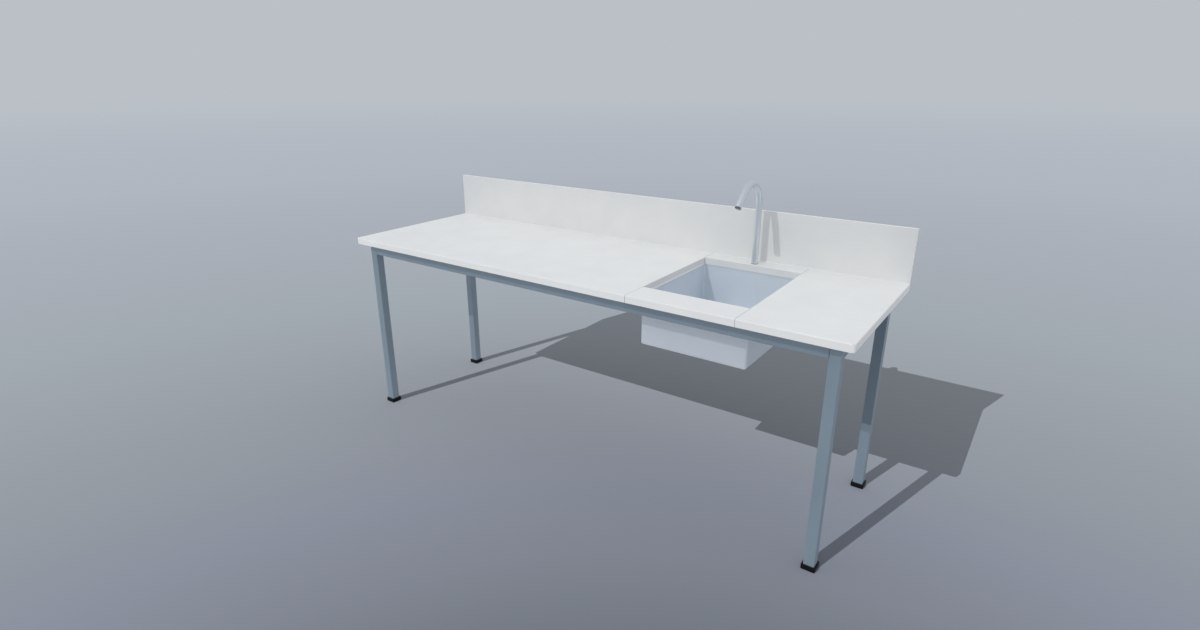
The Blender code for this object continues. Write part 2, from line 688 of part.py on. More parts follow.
def build_waste(steel, plastic, rubber):
    """Strainer, gasket and waste body drawn together by one screw through the bowl's floor."""
    centre = (SINK_X, BOWL_Y)
    seat = BOWL_BOTTOM + BOWL_WALL + FIT_GAP
    strainer_top = seat + STRAINER_THICKNESS
    rings = [
        (circle_points(STRAINER_DIAMETER / 2, ROUND_POINTS), seat),
        (circle_points(STRAINER_DIAMETER / 2, ROUND_POINTS), strainer_top - STRAINER_THICKNESS / 2),
        (circle_points(STRAINER_DIAMETER / 2 - STRAINER_THICKNESS / 2, ROUND_POINTS), strainer_top),
    ]
    strainer = add_object("waste_strainer", loft(rings), steel, (*centre, 0.0), ROUND_SMOOTH_ANGLE)
    turn = 2 * math.pi / STRAINER_HOLES
    ring = STRAINER_HOLE_CIRCLE / 2
    places = [
        (SINK_X + ring * math.cos(index * turn), BOWL_Y + ring * math.sin(index * turn))
        for index in range(STRAINER_HOLES)
    ]
    low = seat - CUT_PAST
    high = strainer_top + CUT_PAST
    cut_from(strainer, "strainer_holes", cylinders(places, STRAINER_HOLE_DIAMETER, low, high, SCREW_POINTS))
    screw_hole = WASTE_SCREW_DIAMETER + SCREW_HOLE_CLEARANCE
    cut_from(strainer, "strainer_screw_hole", cylinders([centre], screw_hole, low, high, SCREW_POINTS))

    gasket_top = BOWL_BOTTOM - FIT_GAP
    gasket_bottom = gasket_top - WASTE_GASKET_THICKNESS
    outer = circle_points(WASTE_TOP_DIAMETER / 2, ROUND_POINTS)
    inner = circle_points(WASTE_HOLE_DIAMETER / 2, ROUND_POINTS)
    rings = [(inner, gasket_bottom), (outer, gasket_bottom), (outer, gasket_top), (inner, gasket_top)]
    gasket = loft(rings, ring_shaped=True)
    add_object("waste_gasket", gasket, rubber, (*centre, 0.0), ROUND_SMOOTH_ANGLE)
    build_waste_body(plastic, gasket_bottom - FIT_GAP)
    build_waste_screw(steel, strainer_top + FIT_GAP, gasket_bottom - FIT_GAP)


def build_waste_body(plastic, top):
    cup = WASTE_HOLE_DIAMETER / 2
    tail = TAIL_DIAMETER / 2
    wall = WASTE_WALL
    flange_bottom = top - WASTE_TOP_THICKNESS
    cup_bottom = top - WASTE_CUP_DEPTH
    tail_bottom = cup_bottom - TAIL_LENGTH
    rings = [
        (cup, top),
        (WASTE_TOP_DIAMETER / 2, top),
        (WASTE_TOP_DIAMETER / 2, flange_bottom),
        (cup + wall, flange_bottom),
        (cup + wall, cup_bottom + cup - tail),
        (tail, cup_bottom - wall),
        (tail, tail_bottom),
        (tail - wall, tail_bottom),
        (tail - wall, cup_bottom),
        (cup, cup_bottom + cup - tail + wall),
    ]
    shape = loft([(circle_points(radius, ROUND_POINTS), z) for radius, z in rings], ring_shaped=True)
    body = add_object("waste_body", shape, plastic, (SINK_X, BOWL_Y, 0.0), ROUND_SMOOTH_ANGLE)
    bridge_top = top - WASTE_TOP_THICKNESS
    reach = cup + wall / 2
    low = (-reach, -WASTE_BRIDGE_WIDTH / 2, bridge_top - WASTE_BRIDGE_DEPTH)
    bridge = block(low, (reach, WASTE_BRIDGE_WIDTH / 2, bridge_top))
    combine(body, "UNION", "waste_bridge", bridge, (SINK_X, BOWL_Y, 0.0))
    width = WASTE_SCREW_DIAMETER + SCREW_HOLE_CLEARANCE
    low_z = bridge_top - WASTE_BRIDGE_DEPTH - CUT_PAST
    hole = cylinders([(SINK_X, BOWL_Y)], width, low_z, bridge_top + CUT_PAST, SCREW_POINTS)
    cut_from(body, "bridge_hole", hole)


def build_waste_screw(steel, head_bottom, body_top):
    tip = body_top - WASTE_TOP_THICKNESS - WASTE_BRIDGE_DEPTH
    radius = WASTE_SCREW_DIAMETER / 2
    head = WASTE_SCREW_HEAD_DIAMETER / 2
    head_top = head_bottom + WASTE_SCREW_HEAD_HEIGHT
    dome = WASTE_SCREW_DOME
    rings = [
        (radius - dome / 2, tip),
        (radius, tip + dome / 2),
        (radius, head_bottom),
        (head, head_bottom),
        (head, head_top - dome),
        (head - dome, head_top),
    ]
    shape = loft([(circle_points(size, SCREW_POINTS), z) for size, z in rings])
    screw = add_object("waste_screw", shape, steel, (SINK_X, BOWL_Y, 0.0), ROUND_SMOOTH_ANGLE)
    low = (-head - CUT_PAST, -WASTE_SLOT_WIDTH / 2, head_top - WASTE_SLOT_DEPTH)
    slot = block(low, (head + CUT_PAST, WASTE_SLOT_WIDTH / 2, head_top + CUT_PAST))
    cut_from(screw, "waste_screw_slot", slot, (SINK_X, BOWL_Y, 0.0))


def neck_frames():
    """Planes across the swan neck: up the post, round the bend and down the straight end."""
    neck_centre = WORKTOP_TOP + NECK_CENTRE_ABOVE_TOP - SPOUT_BOTTOM
    to_centre = Matrix.Translation((0.0, -NECK_RADIUS, neck_centre))
    from_centre = Matrix.Translation((0.0, NECK_RADIUS, 0.0))
    frames = [Matrix.Identity(4)]
    for index in range(NECK_STEPS + 1):
        turn = Matrix.Rotation(math.radians(NECK_SWEEP) * index / NECK_STEPS, 4, "X")
        frames.append(to_centre @ turn @ from_centre)
    frames.append(frames[-1] @ Matrix.Translation((0.0, 0.0, NECK_END_LENGTH)))
    return frames


def build_spout(chrome):
    """Swan neck: the tube's outer skin up and over to the outlet, then its inner skin back down."""
    radius = TUBE_DIAMETER / 2
    outside = [(circle_points(radius, TUBE_POINTS), frame) for frame in neck_frames()]
    inside = [(circle_points(radius - TUBE_WALL, TUBE_POINTS), frame) for frame in neck_frames()]
    shape = loft(outside + inside[::-1], ring_shaped=True)
    spout = add_object("tap_spout", shape, chrome, (SINK_X, TAP_Y, SPOUT_BOTTOM), ROUND_SMOOTH_ANGLE)
    hole = bmesh.new()
    turn = Matrix.Rotation(math.pi / 2, 4, "X")
    middle = Matrix.Translation((0.0, radius, STOP_GROOVE_UP))
    bmesh.ops.create_cone(
        hole,
        cap_ends=True,
        segments=SCREW_POINTS,
        radius1=STOP_SCREW_DIAMETER / 2 + FIT_GAP,
        radius2=STOP_SCREW_DIAMETER / 2 + FIT_GAP,
        depth=2 * TUBE_WALL + CUT_PAST,
        matrix=middle @ turn,
    )
    cut_from(spout, "stop_screw_hole", hole, (SINK_X, TAP_Y, SPOUT_BOTTOM))


def build_stop_screw(steel):
    """Grub screw through the back of the tube: its tip runs in the base's stop groove."""
    shape = bmesh.new()
    outside = TUBE_DIAMETER / 2
    core = outside - TUBE_WALL - FIT_GAP
    tip = core - STOP_GROOVE_DEPTH + 2 * FIT_GAP
    turn = Matrix.Rotation(math.pi / 2, 4, "X")
    middle = Matrix.Translation((0.0, (outside + tip) / 2, STOP_GROOVE_UP))
    bmesh.ops.create_cone(
        shape,
        cap_ends=True,
        segments=SCREW_POINTS,
        radius1=STOP_SCREW_DIAMETER / 2,
        radius2=STOP_SCREW_DIAMETER / 2,
        depth=outside - tip,
        matrix=middle @ turn,
    )
    add_object("tap_stop_screw", shape, steel, (SINK_X, TAP_Y, SPOUT_BOTTOM), ROUND_SMOOTH_ANGLE)


def build_base(chrome):
    """Base that the outlet turns on: collar on the deck, core with grooves, threaded shank."""
    collar = TUBE_DIAMETER / 2
    core = collar - TUBE_WALL - FIT_GAP
    groove = core - O_RING_GROOVE_DEPTH
    half = O_RING_GROOVE_LENGTH / 2
    shank_bottom = WORKTOP_TOP - SHANK_LENGTH - SLAB_THICKNESS
    shank = SHANK_DIAMETER / 2
    bore = BORE_DIAMETER / 2
    profile = [
        (bore, shank_bottom),
        (shank - CORE_CHAMFER / 2, shank_bottom),
        (shank, shank_bottom + CORE_CHAMFER / 2),
        (shank, BASE_BOTTOM),
        (collar, BASE_BOTTOM),
        (collar, SWIVEL_BOTTOM),
        (core, SWIVEL_BOTTOM),
    ]
    for up in (LOWER_O_RING_UP, UPPER_O_RING_UP):
        middle = SWIVEL_BOTTOM + up
        profile.append((core, middle - half))
        profile.append((groove, middle - half))
        profile.append((groove, middle + half))
        profile.append((core, middle + half))
    profile.append((core, SWIVEL_BOTTOM + SWIVEL_LENGTH - CORE_CHAMFER))
    profile.append((core - CORE_CHAMFER, SWIVEL_BOTTOM + SWIVEL_LENGTH))
    profile.append((bore, SWIVEL_BOTTOM + SWIVEL_LENGTH))
    shape = loft([(circle_points(radius, TUBE_POINTS), z) for radius, z in profile], ring_shaped=True)
    base = add_object("tap_base", shape, chrome, (SINK_X, TAP_Y, 0.0), ROUND_SMOOTH_ANGLE)
    cut_from(base, "stop_groove", stop_groove(core), (SINK_X, TAP_Y, SPOUT_BOTTOM))


def stop_groove(core):
    """Part-turn groove that lets the outlet swing the set angle each way from straight ahead."""
    shape = bmesh.new()
    low = STOP_GROOVE_UP - STOP_GROOVE_HEIGHT / 2
    bottom = core - STOP_GROOVE_DEPTH
    screw_angle = math.degrees((STOP_SCREW_DIAMETER / 2 + FIT_GAP) / bottom)
    each_way = SWIVEL_EACH_WAY + screw_angle
    corners = [
        (bottom, low),
        (core + CUT_PAST, low),
        (core + CUT_PAST, low + STOP_GROOVE_HEIGHT),
        (bottom, low + STOP_GROOVE_HEIGHT),
    ]
    start = Matrix.Rotation(math.radians(90.0 - each_way), 3, "Z")
    verts = [shape.verts.new(start @ Vector((radius, 0.0, z))) for radius, z in corners]
    section = shape.faces.new(verts)
    bmesh.ops.spin(
        shape,
        geom=[section],
        cent=(0.0, 0.0, 0.0),
        axis=(0.0, 0.0, 1.0),
        dvec=(0.0, 0.0, 0.0),
        angle=math.radians(2 * each_way),
        steps=STOP_GROOVE_STEPS,
        use_merge=False,
        use_duplicate=False,
    )
    return shape


def build_o_rings(rubber):
    core = TUBE_DIAMETER / 2 - TUBE_WALL - FIT_GAP
    radius = core - O_RING_SECTION / 2
    for name, up in (("tap_o_ring_lower", LOWER_O_RING_UP), ("tap_o_ring_upper", UPPER_O_RING_UP)):
        rings = []
        for index in range(O_RING_POINTS):
            angle = 2 * math.pi * index / O_RING_POINTS
            size = radius + O_RING_SECTION / 2 * math.cos(angle)
            rings.append((circle_points(size, TUBE_POINTS), O_RING_SECTION / 2 * math.sin(angle)))
        shape = loft(rings, ring_shaped=True)
        add_object(name, shape, rubber, (SINK_X, TAP_Y, SWIVEL_BOTTOM + up), RING_SMOOTH_ANGLE)


def build_tap_fixings(rubber, brass):
    hole = circle_points(DECK_HOLE_DIAMETER / 2, TUBE_POINTS)
    edge = circle_points(TUBE_DIAMETER / 2, TUBE_POINTS)
    low = WORKTOP_TOP + FIT_GAP
    high = low + DECK_GASKET_THICKNESS
    gasket = loft([(hole, low), (edge, low), (edge, high), (hole, high)], ring_shaped=True)
    add_object("tap_deck_gasket", gasket, rubber, (SINK_X, TAP_Y, 0.0), ROUND_SMOOTH_ANGLE)

    thread = circle_points(SHANK_DIAMETER / 2 + FIT_GAP, TUBE_POINTS)
    flange = circle_points(BACKNUT_FLANGE_DIAMETER / 2, TUBE_POINTS)
    hexagon = hexagon_points(BACKNUT_FLATS, TUBE_POINTS)
    top = SLAB_UNDERSIDE - FIT_GAP
    under_flange = top - BACKNUT_FLANGE_HEIGHT
    bottom = top - BACKNUT_HEIGHT
    rings = [
        (thread, top),
        (flange, top),
        (flange, under_flange),
        (hexagon, under_flange),
        (hexagon, bottom),
        (thread, bottom),
    ]
    nut = loft(rings, ring_shaped=True)
    add_object("tap_backnut", nut, brass, (SINK_X, TAP_Y, 0.0), FACET_SMOOTH_ANGLE)


def ball_profile(radius, centre, low_angle, high_angle):
    """Radius and height of points up the side of a ball, between two angles from level."""
    points = []
    for index in range(BALL_STEPS + 1):
        angle = math.radians(low_angle + (high_angle - low_angle) * index / BALL_STEPS)
        points.append((radius * math.cos(angle), centre + radius * math.sin(angle)))
    return points


def foot_shape():
    """Square pad with a ball socket that opens upwards round the stem."""
    corner_steps = FOOT_POINTS // 4 - 1
    chamfer = FOOT_EDGE_CHAMFER
    full = rectangle_points(FOOT_SIZE, FOOT_SIZE, FOOT_CORNER_RADIUS, corner_steps)
    smaller = FOOT_SIZE - 2 * chamfer
    trimmed = rectangle_points(smaller, smaller, FOOT_CORNER_RADIUS, corner_steps)
    socket = BALL_DIAMETER / 2 + FIT_GAP
    neck = FOOT_NECK_DIAMETER / 2
    neck_angle = math.degrees(math.acos(neck / socket))
    rings = [(trimmed, 0.0), (full, chamfer), (full, FOOT_HEIGHT - chamfer), (trimmed, FOOT_HEIGHT)]
    rings.append((circle_points(neck, FOOT_POINTS), FOOT_HEIGHT))
    for radius, z in reversed(ball_profile(socket, BALL_CENTRE_UP, BALL_LOWEST_ANGLE, neck_angle)):
        rings.append((circle_points(radius, FOOT_POINTS), z))
    return loft(rings)


def stem_shape():
    """Threaded stem with the ball that its pad turns on."""
    stem = STEM_DIAMETER / 2
    ball = BALL_DIAMETER / 2
    meeting = math.degrees(math.acos(stem / ball))
    profile = ball_profile(ball, BALL_CENTRE_UP, BALL_LOWEST_ANGLE, meeting)
    profile.append((stem, STEM_LENGTH - STEM_CHAMFER))
    profile.append((stem - STEM_CHAMFER, STEM_LENGTH))
    return loft([(circle_points(radius, FOOT_POINTS), z) for radius, z in profile])


def plug_shape():
    """Square plug that fills the leg's lower end, with the stem's threaded hole up its middle."""
    corner_steps = FOOT_POINTS // 4 - 1
    width = LEG_SIZE - 2 * LEG_WALL - 2 * FIT_GAP
    outline = rectangle_points(width, width, PLUG_CORNER_RADIUS, corner_steps)
    hole = circle_points(STEM_DIAMETER / 2 + FIT_GAP, FOOT_POINTS)
    rings = [(hole, 0.0), (outline, 0.0), (outline, PLUG_LENGTH), (hole, PLUG_LENGTH)]
    return loft(rings, ring_shaped=True)


def build_feet(black, zinc, plastic):
    for side, x in (("left", -LEG_X), ("right", LEG_X)):
        for row, y in (("front", LEG_FRONT_Y), ("back", LEG_BACK_Y)):
            where = f"{row}_{side}"
            add_object(f"foot_pad_{where}", foot_shape(), black, (x, y, 0.0), ROUND_SMOOTH_ANGLE)
            add_object(f"foot_stem_{where}", stem_shape(), zinc, (x, y, 0.0), ROUND_SMOOTH_ANGLE)
            base = (x, y, FOOT_HEIGHT + FIT_GAP)
            add_object(f"leg_plug_{where}", plug_shape(), plastic, base, ROUND_SMOOTH_ANGLE)


def build_bench():
    clear_scene()
    white = make_material("white worktop slab", WORKTOP_WHITE, 0.35, 0.0)
    paint = make_material("blue-grey powder coat", FRAME_BLUE_GREY, 0.55, 0.0)
    steel = make_material("stainless sheet", STEEL_GREY, 0.35, 1.0)
    chrome = make_material("satin chromed brass", CHROME_GREY, 0.28, 1.0)
    brass = make_material("bare brass", BRASS_YELLOW, 0.30, 1.0)
    zinc = make_material("zinc-plated steel", ZINC_GREY, 0.40, 1.0)
    black = make_material("black plastic", FOOT_BLACK, 0.50, 0.0)
    rubber = make_material("black rubber", RUBBER_BLACK, 0.70, 0.0)
    build_legs(paint)
    build_long_rails(paint)
    build_end_rails(paint)
    build_cross_rails(paint)
    build_bedding(rubber)
    build_worktop(white)
    build_upstand(white)
    build_joint_plates(zinc)
    build_screws(zinc)
    build_bowl(steel)
    build_waste(steel, black, rubber)
    build_spout(chrome)
    build_stop_screw(zinc)
    build_base(chrome)
    build_o_rings(rubber)
    build_tap_fixings(rubber, brass)
    build_feet(black, zinc, black)


build_bench()
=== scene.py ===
"""Looks of the laboratory bench: finishes, finer pieces, floor, light and camera."""

import json
import math

import bmesh
import bpy
from mathutils import Matrix, Vector


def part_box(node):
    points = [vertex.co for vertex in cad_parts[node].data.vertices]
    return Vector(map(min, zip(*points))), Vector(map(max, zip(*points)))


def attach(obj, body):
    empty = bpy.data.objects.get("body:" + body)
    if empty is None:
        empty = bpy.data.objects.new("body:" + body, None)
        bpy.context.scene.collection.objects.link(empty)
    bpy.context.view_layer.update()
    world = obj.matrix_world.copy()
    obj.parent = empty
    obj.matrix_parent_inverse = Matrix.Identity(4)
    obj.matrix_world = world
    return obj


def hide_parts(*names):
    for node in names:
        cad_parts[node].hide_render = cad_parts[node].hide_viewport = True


# Camera, as solved from the photograph's straight edges
CAMERA_PLACE = (1.6465, -2.3505, 1.6741)
CAMERA_PITCH = 70.0
CAMERA_YAW = 35.0
FIELD_ACROSS = 83.27
SENSOR_WIDTH = 36.0

# Light: the sun travels as the photograph's shadows do, and draws them as hard as they are there.
# The photograph's floor shadow is much deeper than its shading of the bench, so a second sun shines
# on the floor alone. A fill from below lifts what faces forwards: the worktop keeps it off the
# upstand, and the bowl's walls keep it out of the bowl. A side fill lifts the right-hand sides.
SUN_TRAVEL = (0.278, 1.0, -0.880)
SUN_STRENGTH = 0.68
FLOOR_SUN_STRENGTH = 3.05
FILL_TRAVEL = (0.0, 0.95, 0.50)
FILL_STRENGTH = 0.80
SIDE_FILL_TRAVEL = (-0.90, 0.0, 0.45)
SIDE_FILL_STRENGTH = 0.50
SKY_COLOUR = "#EEF1F5"
SKY_AT_HORIZON = 0.50
SKY_OVERHEAD = 1.12
BACKDROP_COLOUR = "#BBC0C6"

# Floor: painted shade, darkest at a spot in front of the bench, that pales with the distance from
# there; the floor ends in the backdrop. Each tone of the painted shade stands with its distance.
FLOOR_SIZE = 120.0
FLOOR_PAINTED_SHADE_SPOT = (1.65, -2.35, 0.0)
FLOOR_PAINTED_SHADE_TONES = (
    (1.6, "#5E6269"),
    (2.0, "#6B6F77"),
    (2.5, "#737781"),
    (3.0, "#797D83"),
    (4.0, "#808489"),
    (5.0, "#848A8F"),
    (7.0, "#8A8E94"),
    (12.0, "#90959C"),
    (38.0, "#979CA1"),
)
FADE_START_RADIUS = 9.0
FADE_END_RADIUS = 58.0

# Noise: the part of its values that a pattern spreads over its whole range
NOISE_LOWEST = 0.25
NOISE_HIGHEST = 0.75

# Moulded black pieces shine less than the default, as in the photograph
MOULDED_SPECULAR_LEVEL = 0.25

# Places of a mix node's colour sockets, whose names stand there more than once
MIX_FACTOR = 0
MIX_COLOUR_A = 6
MIX_COLOUR_B = 7
MIX_COLOUR_RESULT = 2

# Making of shapes: points this near are merged, and heights this near count as one
MERGE_WITHIN = 0.000005
SAME_PLACE = 0.00005
SMOOTH_ANGLE = 35.0
ROUND_PROFILE = 0.5

# Swan neck of drawn tube
TUBE_RADIUS = 0.014
TUBE_WALL = 0.0015
NECK_RADIUS = 0.095
NECK_BEND_START = 0.217
NECK_SWEEP = 134.5
NECK_END_LENGTH = 0.0726
NECK_FACETS = 64
NECK_BEND_STEPS = 60
TUBE_RIM_RADIUS = 0.0006
TUBE_RIM_STEPS = 3

# Stop screw in the back of the neck
STOP_SCREW_UP = 0.012
STOP_SCREW_RADIUS = 0.002
STOP_SCREW_HOLE_RADIUS = 0.0023
STOP_SCREW_SUNK = 0.0004
STOP_SOCKET_RADIUS = 0.00115
STOP_SOCKET_DEPTH = 0.0014
STOP_SOCKET_SIDES = 6

# Sink bowl pressed from sheet
BOWL_FLANGE = 0.010
BOWL_WALL = 0.0015
BOWL_CORNER_RADIUS = 0.009
BOWL_FLOOR_RADIUS = 0.006
BOWL_RIM_RADIUS = 0.002
BOWL_RIM_STEPS = 4
BOWL_LIP_DROP = 0.003
BOWL_LIP_RADIUS = 0.0010
BOWL_LIP_STEPS = 3
BOWL_FLOOR_FALL = 0.004
BOWL_CORNER_STEPS = 8
BOWL_RECESS_RADIUS = 0.039
BOWL_RECESS_DEPTH = 0.003
BOWL_HOLE_RADIUS = 0.026

# Levelling feet
PAD_CORNER_RADIUS = 0.004
PAD_CORNER_STEPS = 6
PAD_EDGE_RADIUS = 0.0012
PAD_EDGE_STEPS = 4
PAD_SOLE_RECESS = 0.0006
PAD_SOLE_RIM = 0.0015
BALL_RADIUS = 0.0075
BALL_CENTRE_UP = 0.0085
SOCKET_GAP = 0.0003
SOCKET_MOUTH_RADIUS = 0.00625
SOCKET_STEPS = 8
SOCKET_LOWEST_ANGLE = -80.0
THREAD_PITCH = 0.0015
THREAD_CREST_RADIUS = 0.00497
THREAD_ROOT_RADIUS = 0.0041
THREAD_SUNK = 0.0001
THREAD_FACETS = 24
STEM_TOP_CHAMFER = 0.001

# Weld beads where tube meets tube
BEAD_RADIUS = 0.0028
BEAD_RIPPLE = 0.13
BEAD_RIPPLE_LENGTH = 0.0032
BEAD_POINTS_PER_RIPPLE = 6
BEAD_FACETS = 12

# Sealant in the joints of the slabs, along the upstand and round the bowl
JOINT_HALF_WIDTH = 0.0008
JOINT_SEALANT_SUNK = 0.00025
JOINT_SEALANT_DEPTH = 0.0010
SLAB_EDGE_RADIUS = 0.004
SLAB_EDGE_STEPS = 8
COVE_SIZE = 0.003
COVE_STEPS = 6
CUT_OUT_BEAD_RADIUS = 0.005
CUT_OUT_BEAD_FACETS = 16
CUT_OUT_BEAD_END_STEPS = 3


def linear(hex_colour):
    """Turns an sRGB hex value into linear red, green and blue."""
    channels = [int(hex_colour[start : start + 2], 16) / 255 for start in (1, 3, 5)]
    return tuple(
        channel / 12.92 if channel <= 0.04045 else ((channel + 0.055) / 1.055) ** 2.4
        for channel in channels
    )


def add_node(tree, kind, settings=None, inputs=None, links=None):
    """Adds one shader node with its settings, its socket values and the links into it."""
    node = tree.nodes.new(kind)
    for name, value in (settings or {}).items():
        setattr(node, name, value)
    for name, value in (inputs or {}).items():
        node.inputs[name].default_value = value
    for name, source in (links or {}).items():
        tree.links.new(source, node.inputs[name])
    return node


def new_material(name, colour, roughness, metallic=0.0):
    """Starts a material: returns it with its node tree and its shader.

    The colour and the roughness show where no pattern takes their place.
    """
    material = bpy.data.materials.new(name)
    material.use_nodes = True
    shader = material.node_tree.nodes["Principled BSDF"]
    shader.inputs["Base Color"].default_value = (*linear(colour), 1.0)
    shader.inputs["Roughness"].default_value = roughness
    shader.inputs["Metallic"].default_value = metallic
    return material, material.node_tree, shader


def soft_noise(tree, scale, detail, low=0.0, high=1.0):
    """Soft noise between two values at the object's own coordinates.

    The scale is the number of noise cells in a metre of X, Y and Z: 1000 over their size in mm.
    """
    place = add_node(tree, "ShaderNodeTexCoord")
    space = add_node(
        tree,
        "ShaderNodeMapping",
        inputs={"Scale": scale},
        links={"Vector": place.outputs["Object"]},
    )
    noise = add_node(
        tree,
        "ShaderNodeTexNoise",
        inputs={"Scale": 1.0, "Detail": detail},
        links={"Vector": space.outputs["Vector"]},
    )
    value = add_node(
        tree,
        "ShaderNodeMapRange",
        inputs={"From Min": NOISE_LOWEST, "From Max": NOISE_HIGHEST, "To Min": low, "To Max": high},
        links={"Value": noise.outputs["Fac"]},
    )
    return value.outputs["Result"]


def cloud_colour(tree, shader, first, second, scale, detail):
    """Lets the colour drift in clouds between two hex values."""
    mix = add_node(
        tree,
        "ShaderNodeMix",
        settings={"data_type": "RGBA"},
        inputs={MIX_COLOUR_A: (*linear(first), 1.0), MIX_COLOUR_B: (*linear(second), 1.0)},
        links={MIX_FACTOR: soft_noise(tree, scale, detail)},
    )
    tree.links.new(mix.outputs[MIX_COLOUR_RESULT], shader.inputs["Base Color"])


def break_shine(tree, shader, low, high, scale, detail):
    """Lets the roughness vary between two values."""
    tree.links.new(soft_noise(tree, scale, detail, low, high), shader.inputs["Roughness"])


def add_relief(tree, shader, strength, distance, scale, detail):
    """Tilts the shading as if the surface stood up and sank within a distance."""
    bump = add_node(
        tree,
        "ShaderNodeBump",
        inputs={"Strength": strength, "Distance": distance},
        links={"Height": soft_noise(tree, scale, detail)},
    )
    tree.links.new(bump.outputs["Normal"], shader.inputs["Normal"])


def cast_resin_material():
    """Cast mineral-filled resin slab, sanded satin.

    The eye gets an even white with a faint cloud of the filler, and a shine broken by sanding.
    """
    material, tree, shader = new_material("cast resin slab, sanded", "#EAEAE8", roughness=0.42)
    # Clouds of filler about 140 mm wide
    cloud_colour(tree, shader, "#E7E7E6", "#EDEDEB", scale=(7.0, 7.0, 7.0), detail=4.0)
    # Sanding marks drawn 1.1 mm wide, because the real ones of about 0.1 mm are too fine to show
    break_shine(tree, shader, low=0.34, high=0.48, scale=(900.0, 900.0, 900.0), detail=2.0)
    return material


def powder_coat_material():
    """Polyester powder coat baked on steel tube.

    The eye gets an even blue-grey with the fine ripple of orange peel and a soft sheen.
    """
    material, tree, shader = new_material("powder coat, blue-grey", "#808F99", roughness=0.40)
    # Patches of thicker and thinner coat, about 80 mm wide and 250 mm high
    cloud_colour(tree, shader, "#7D8C98", "#83929E", scale=(12.0, 12.0, 4.0), detail=3.0)
    # Orange peel of 2.2 mm
    add_relief(tree, shader, strength=0.12, distance=0.0006, scale=(450.0, 450.0, 450.0), detail=3.0)
    return material


def brushed_steel_material():
    """Stainless sheet, belt-ground level with the floor.

    The eye gets a cool pale grey whose shine is drawn out in fine level lines. The photograph shows
    it with almost no mirroring, so it is only partly metallic.
    """
    material, tree, shader = new_material(
        "stainless sheet, brushed", "#E6EDF4", roughness=0.45, metallic=0.35
    )
    # Uneven grinding in clouds of about 110 mm
    cloud_colour(tree, shader, "#DBE2E9", "#E1E8EF", scale=(9.0, 9.0, 9.0), detail=3.0)
    # Belt lines 40 mm long, drawn 0.9 mm apart because the real spacing is too fine to show
    break_shine(tree, shader, low=0.38, high=0.52, scale=(25.0, 25.0, 1100.0), detail=3.0)
    return material


def satin_chrome_material():
    """Satin chrome plate on brass tube.

    The eye gets a bright, slightly blurred mirror with the faint smears of handling.
    """
    material, tree, shader = new_material("satin chrome plate", "#E3E8EC", roughness=0.34, metallic=0.8)
    # Smears about 3 mm wide and 25 mm high
    break_shine(tree, shader, low=0.33, high=0.35, scale=(300.0, 300.0, 40.0), detail=3.0)
    return material


def turned_metal_material(name, colour, roughness, spread):
    """Small metal part from the lathe or the header: its shine runs in rings along Z."""
    material, tree, shader = new_material(name, colour, roughness, metallic=1.0)
    dullest = roughness + spread
    shiniest = roughness - spread
    # Rings drawn 0.7 mm apart, because the real feed of the lathe is too fine to show
    break_shine(tree, shader, low=shiniest, high=dullest, scale=(60.0, 60.0, 1500.0), detail=2.0)
    return material


def moulded_material(name, colour, paler, roughness, grains_per_metre):
    """Moulded black plastic or rubber: it looks dull and deep black, with the grain of its mould."""
    material, tree, shader = new_material(name, colour, roughness)
    shader.inputs["Specular IOR Level"].default_value = MOULDED_SPECULAR_LEVEL
    # Paler bloom in patches of about 17 mm
    cloud_colour(tree, shader, colour, paler, scale=(60.0, 60.0, 60.0), detail=3.0)
    # Spark-eroded grain, under a millimetre
    add_relief(
        tree, shader, strength=0.25, distance=0.0004, scale=[grains_per_metre] * 3, detail=2.0
    )
    return material


def sealant_material(name, colour):
    """Silicone sealant drawn smooth with a wet finger: a soft gloss over a slightly uneven face."""
    material, tree, shader = new_material(name, colour, roughness=0.30)
    # Waves of about 6 mm left by the finger
    add_relief(tree, shader, strength=0.20, distance=0.0005, scale=(160.0, 160.0, 160.0), detail=2.0)
    return material


def dress_nodes(frame):
    """Gives each CAD node the finish of its material slot, and returns the finishes by slot."""
    finishes = {
        "white_slab": cast_resin_material(),
        "frame_paint": powder_coat_material(),
        "stainless": brushed_steel_material(),
        "chrome": satin_chrome_material(),
        "brass": turned_metal_material("brass, turned", "#C9A96A", roughness=0.30, spread=0.08),
        "zinc_steel": turned_metal_material("steel, zinc-plated", "#B4B8BC", roughness=0.38, spread=0.08),
        "black_plastic": moulded_material(
            "polyamide, moulded", "#08090B", "#0D0E10", roughness=0.50, grains_per_metre=1200.0
        ),
        "black_rubber": moulded_material(
            "rubber, moulded", "#1A1A1C", "#202022", roughness=0.75, grains_per_metre=1500.0
        ),
    }
    slots = {entry["node"]: entry["material_slot"] for entry in frame["record"]["subparts"]}
    for name, obj in frame["nodes"].items():
        for slot in obj.material_slots:
            slot.material = finishes[slots[name]]
    return finishes


def add_piece(name, shape, material, body, stands_for=()):
    """Turns a bmesh into one finished piece that rides on a body of the CAD."""
    bmesh.ops.remove_doubles(shape, verts=shape.verts[:], dist=MERGE_WITHIN)
    bmesh.ops.recalc_face_normals(shape, faces=shape.faces[:])
    mesh = bpy.data.meshes.new(name)
    shape.to_mesh(mesh)
    shape.free()
    mesh.shade_smooth()
    mesh.set_sharp_from_angle(angle=math.radians(SMOOTH_ANGLE))
    mesh.materials.append(material)
    piece = bpy.data.objects.new(name, mesh)
    bpy.context.scene.collection.objects.link(piece)
    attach(piece, body)
    if stands_for:
        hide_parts(*stands_for)
    return piece


def verts_in(geometry):
    return [item for item in geometry if isinstance(item, bmesh.types.BMVert)]


def edges_in(geometry):
    return [item for item in geometry if isinstance(item, bmesh.types.BMEdge)]


